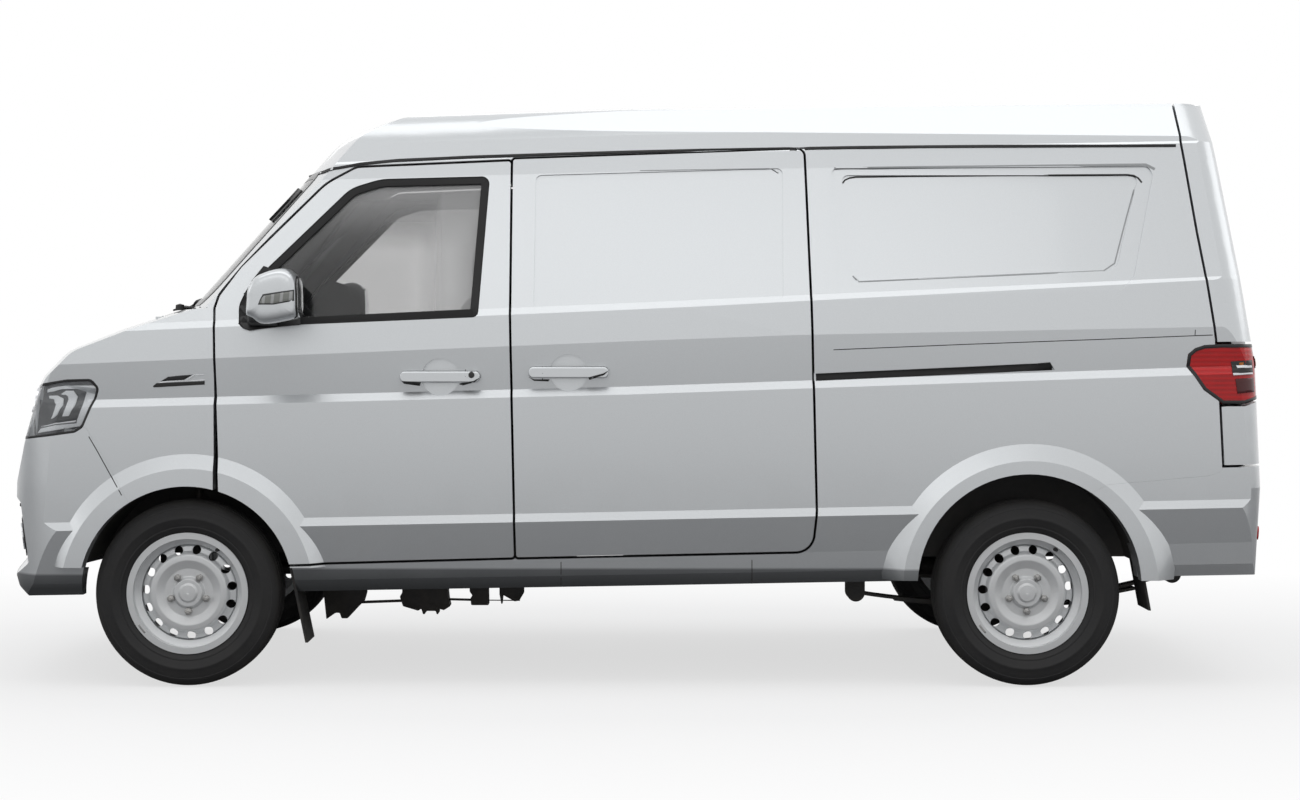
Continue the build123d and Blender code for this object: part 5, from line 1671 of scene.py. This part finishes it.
def prism(name, profile, half_width, middle, bevel=0.022, steps=3):
    """A side outline (x, z) drawn out across the van, with its edges rounded."""
    piece = outline_piece(name, [(x, middle - half_width, z) for x, z in profile])
    edit(piece, "FACE", "SELECT")
    extrude((0, 2 * half_width, 0))
    clear_selection()
    turn_outwards(piece)
    bevel_edges(piece, bevel, steps, 30)
    return piece


def puff(pad, pressure, furthest):
    """Cloth with air inside and no gravity; no point leaves its place by more than furthest."""
    modify(pad, "REMESH", mode="VOXEL", voxel_size=PAD_CELL)
    start = [v.co.copy() for v in pad.data.vertices]
    only(pad)
    cloth = pad.modifiers.new("Cloth", "CLOTH")
    cloth.settings.quality = 6
    cloth.settings.use_pressure = True
    cloth.settings.uniform_pressure_force = pressure
    cloth.settings.effector_weights.gravity = 0.0
    for frame_number in range(1, 21):
        bpy.context.scene.frame_set(frame_number)
    bpy.ops.object.modifier_apply(modifier=cloth.name)
    bpy.context.scene.frame_set(1)
    for vertex, before in zip(pad.data.vertices, start):
        move = vertex.co - before
        if move.length > furthest:
            vertex.co = before + move.normalized() * furthest


def press_channels(pad, axis, lines):
    """Sewn channels: valleys across the pad at these places, and a seam along each side."""
    normals = [v.normal.copy() for v in pad.data.vertices]
    for vertex, normal in zip(pad.data.vertices, normals):
        side = abs(vertex.co.y - SEAT_MIDDLE)
        seam = abs(side - SEAM_PLACE)
        drop = SEAM_DEEPER * CHANNEL_DEPTH * max(0.0, 1.0 - seam / CHANNEL_HALF)
        if side < CHANNEL_REACH:
            away = min(abs(vertex.co[axis] - line) for line in lines)
            drop = max(drop, CHANNEL_DEPTH * max(0.0, 1.0 - away / CHANNEL_HALF))
        vertex.co -= normal * drop


for name, profile, half_width, pressure, furthest, axis, lines in PADS:
    pad = prism(name, profile, half_width, SEAT_MIDDLE)
    puff(pad, pressure, furthest)
    modify(pad, "SUBSURF", levels=1, render_levels=1)
    if lines:
        press_channels(pad, axis, lines)
    for made in both_flanks(pad, "root", (FABRIC, "seat_fabric")):
        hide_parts("front_seats")
    print(name, len(pad.data.polygons))
for number, side in enumerate((-1, 1)):
    foot = (-0.492, SEAT_MIDDLE + side * POST_SPREAD, 1.240)
    post = turned(f"headrest_post_{number}_left", POST, foot, UPRIGHT, steps=16)
    both_flanks(post, "root", (CHROME, "bare_steel"))
frame_side = prism(
    "seat_frame_left", SEAT_SIDE, half_width=0.012, middle=SEAT_MIDDLE - FRAME_SPREAD,
    bevel=0.004, steps=2,
)
both_flanks(frame_side, "root", SATIN)
print("seats done")

# %% [markdown]
# ## Under the floor and behind the grille
# Below the sill the photograph shows dark hangers, a linkage rod and two boxes. They are drawn as
# flat outlines in its pixels at one distance, and drawn out across the van like the seat pads.
# Behind the open grille stands a radiator with level fins, so that no daylight shows through.

# %% Hangers under the rails
RAIL_SIDE = -0.345
ROD_DEPTH = 0.0034
# Name, half width across the van and outline in pixels
HANGERS = (
    ("hanger_front_left", 0.016, [
        (324, 532), (324, 592.5), (326.8, 618.9), (336, 612.5), (340, 612.5), (342, 618),
        (348, 618), (357.6, 607.7), (364.7, 600.5), (367, 592.5), (367, 532),
    ]),
    ("linkage_box_left", 0.034, [
        (403, 532), (403, 591.7), (400.6, 595.7), (403.8, 605.3), (419, 609.8), (422, 607.7),
        (423.8, 613.3), (425.5, 613.3), (427, 610), (436.5, 610), (437.3, 613.3),
        (439.0, 613.3), (439.7, 607.7), (444.5, 609.3), (450.9, 605.3), (449.3, 599),
        (448.5, 591.7), (448.5, 532),
    ]),
    ("valve_box_left", 0.026, [
        (470, 532), (470, 591), (473, 595), (470.8, 597.3), (471.6, 604.5), (489.1, 604.5),
        (488.8, 591), (488.8, 532),
    ]),
    ("clip_left", 0.010, [
        (499.5, 532), (499.5, 594), (501.4, 603.7), (502.6, 603.7), (503.5, 595),
        (514.7, 601.3), (519.4, 600.5), (524.2, 592.5), (524.2, 532),
    ]),
)
# Name, half height in pixels, start and end
RODS = (
    ("linkage_rod_left", 1.3, (350, 602.6), (406, 600.6)),
    ("linkage_rod_rear_left", 1.1, (446, 599.2), (474, 599.9)),
    ("brake_pipe_left", 0.5, (486, 600.2), (520, 600.5)),
)


def under_floor(name, outline, half_width, bevel):
    places = camera_outline(outline, RAIL_SIDE)
    piece = prism(name, places, half_width, middle=RAIL_SIDE, bevel=bevel, steps=2)
    mount(piece, "root", (SATIN_BLACK, "underbody"))


for name, half_width, outline in HANGERS:
    under_floor(name, outline, half_width, bevel=0.003)
for name, half, (u1, v1), (u2, v2) in RODS:
    outline = [(u1, v1 - half), (u2, v2 - half), (u2, v2 + half), (u1, v1 + half)]
    under_floor(name, outline, half * ROD_DEPTH, bevel=0.0008)
print("hangers and rods", len(HANGERS) + len(RODS))

# %% Radiator
RADIATOR = [(-1.840, 0.400), (-1.840, 0.950), (-1.800, 0.950), (-1.800, 0.400)]
TRAY = [(-1.965, 0.395), (-1.805, 0.395), (-1.805, 0.405), (-1.965, 0.405)]
FIN_PITCH = 0.008


def radiator_core():
    """Level cooling fins: a dark base colour and a bump that repeats with every fin."""
    material, shader, place = new_material("radiator_core", Metallic=0.4)
    fins = (place.parts()[2] * (2 * pi / FIN_PITCH)).maths("SINE")
    soot = noise(place, 12.0, 4.0, 0.6).ramp(0.3, 0.7)
    feed(shader, "Base Color", mix_colour(soot, (0.012, 0.012, 0.013, 1), (0.028, 0.027, 0.026, 1)))
    feed(shader, "Roughness", soot * 0.2 + 0.55)
    feed(shader, "Normal", bump(place, fins, 0.6, 0.002))
    return material


core = prism("radiator", RADIATOR, half_width=0.420, middle=0.0, bevel=0.006, steps=2)
mount(core, "root", (radiator_core(), "underbody"))
tray = prism("intake_tray", TRAY, half_width=0.500, middle=0.0, bevel=0.002, steps=1)
mount(tray, "root", GRAIN)
print("radiator ready")
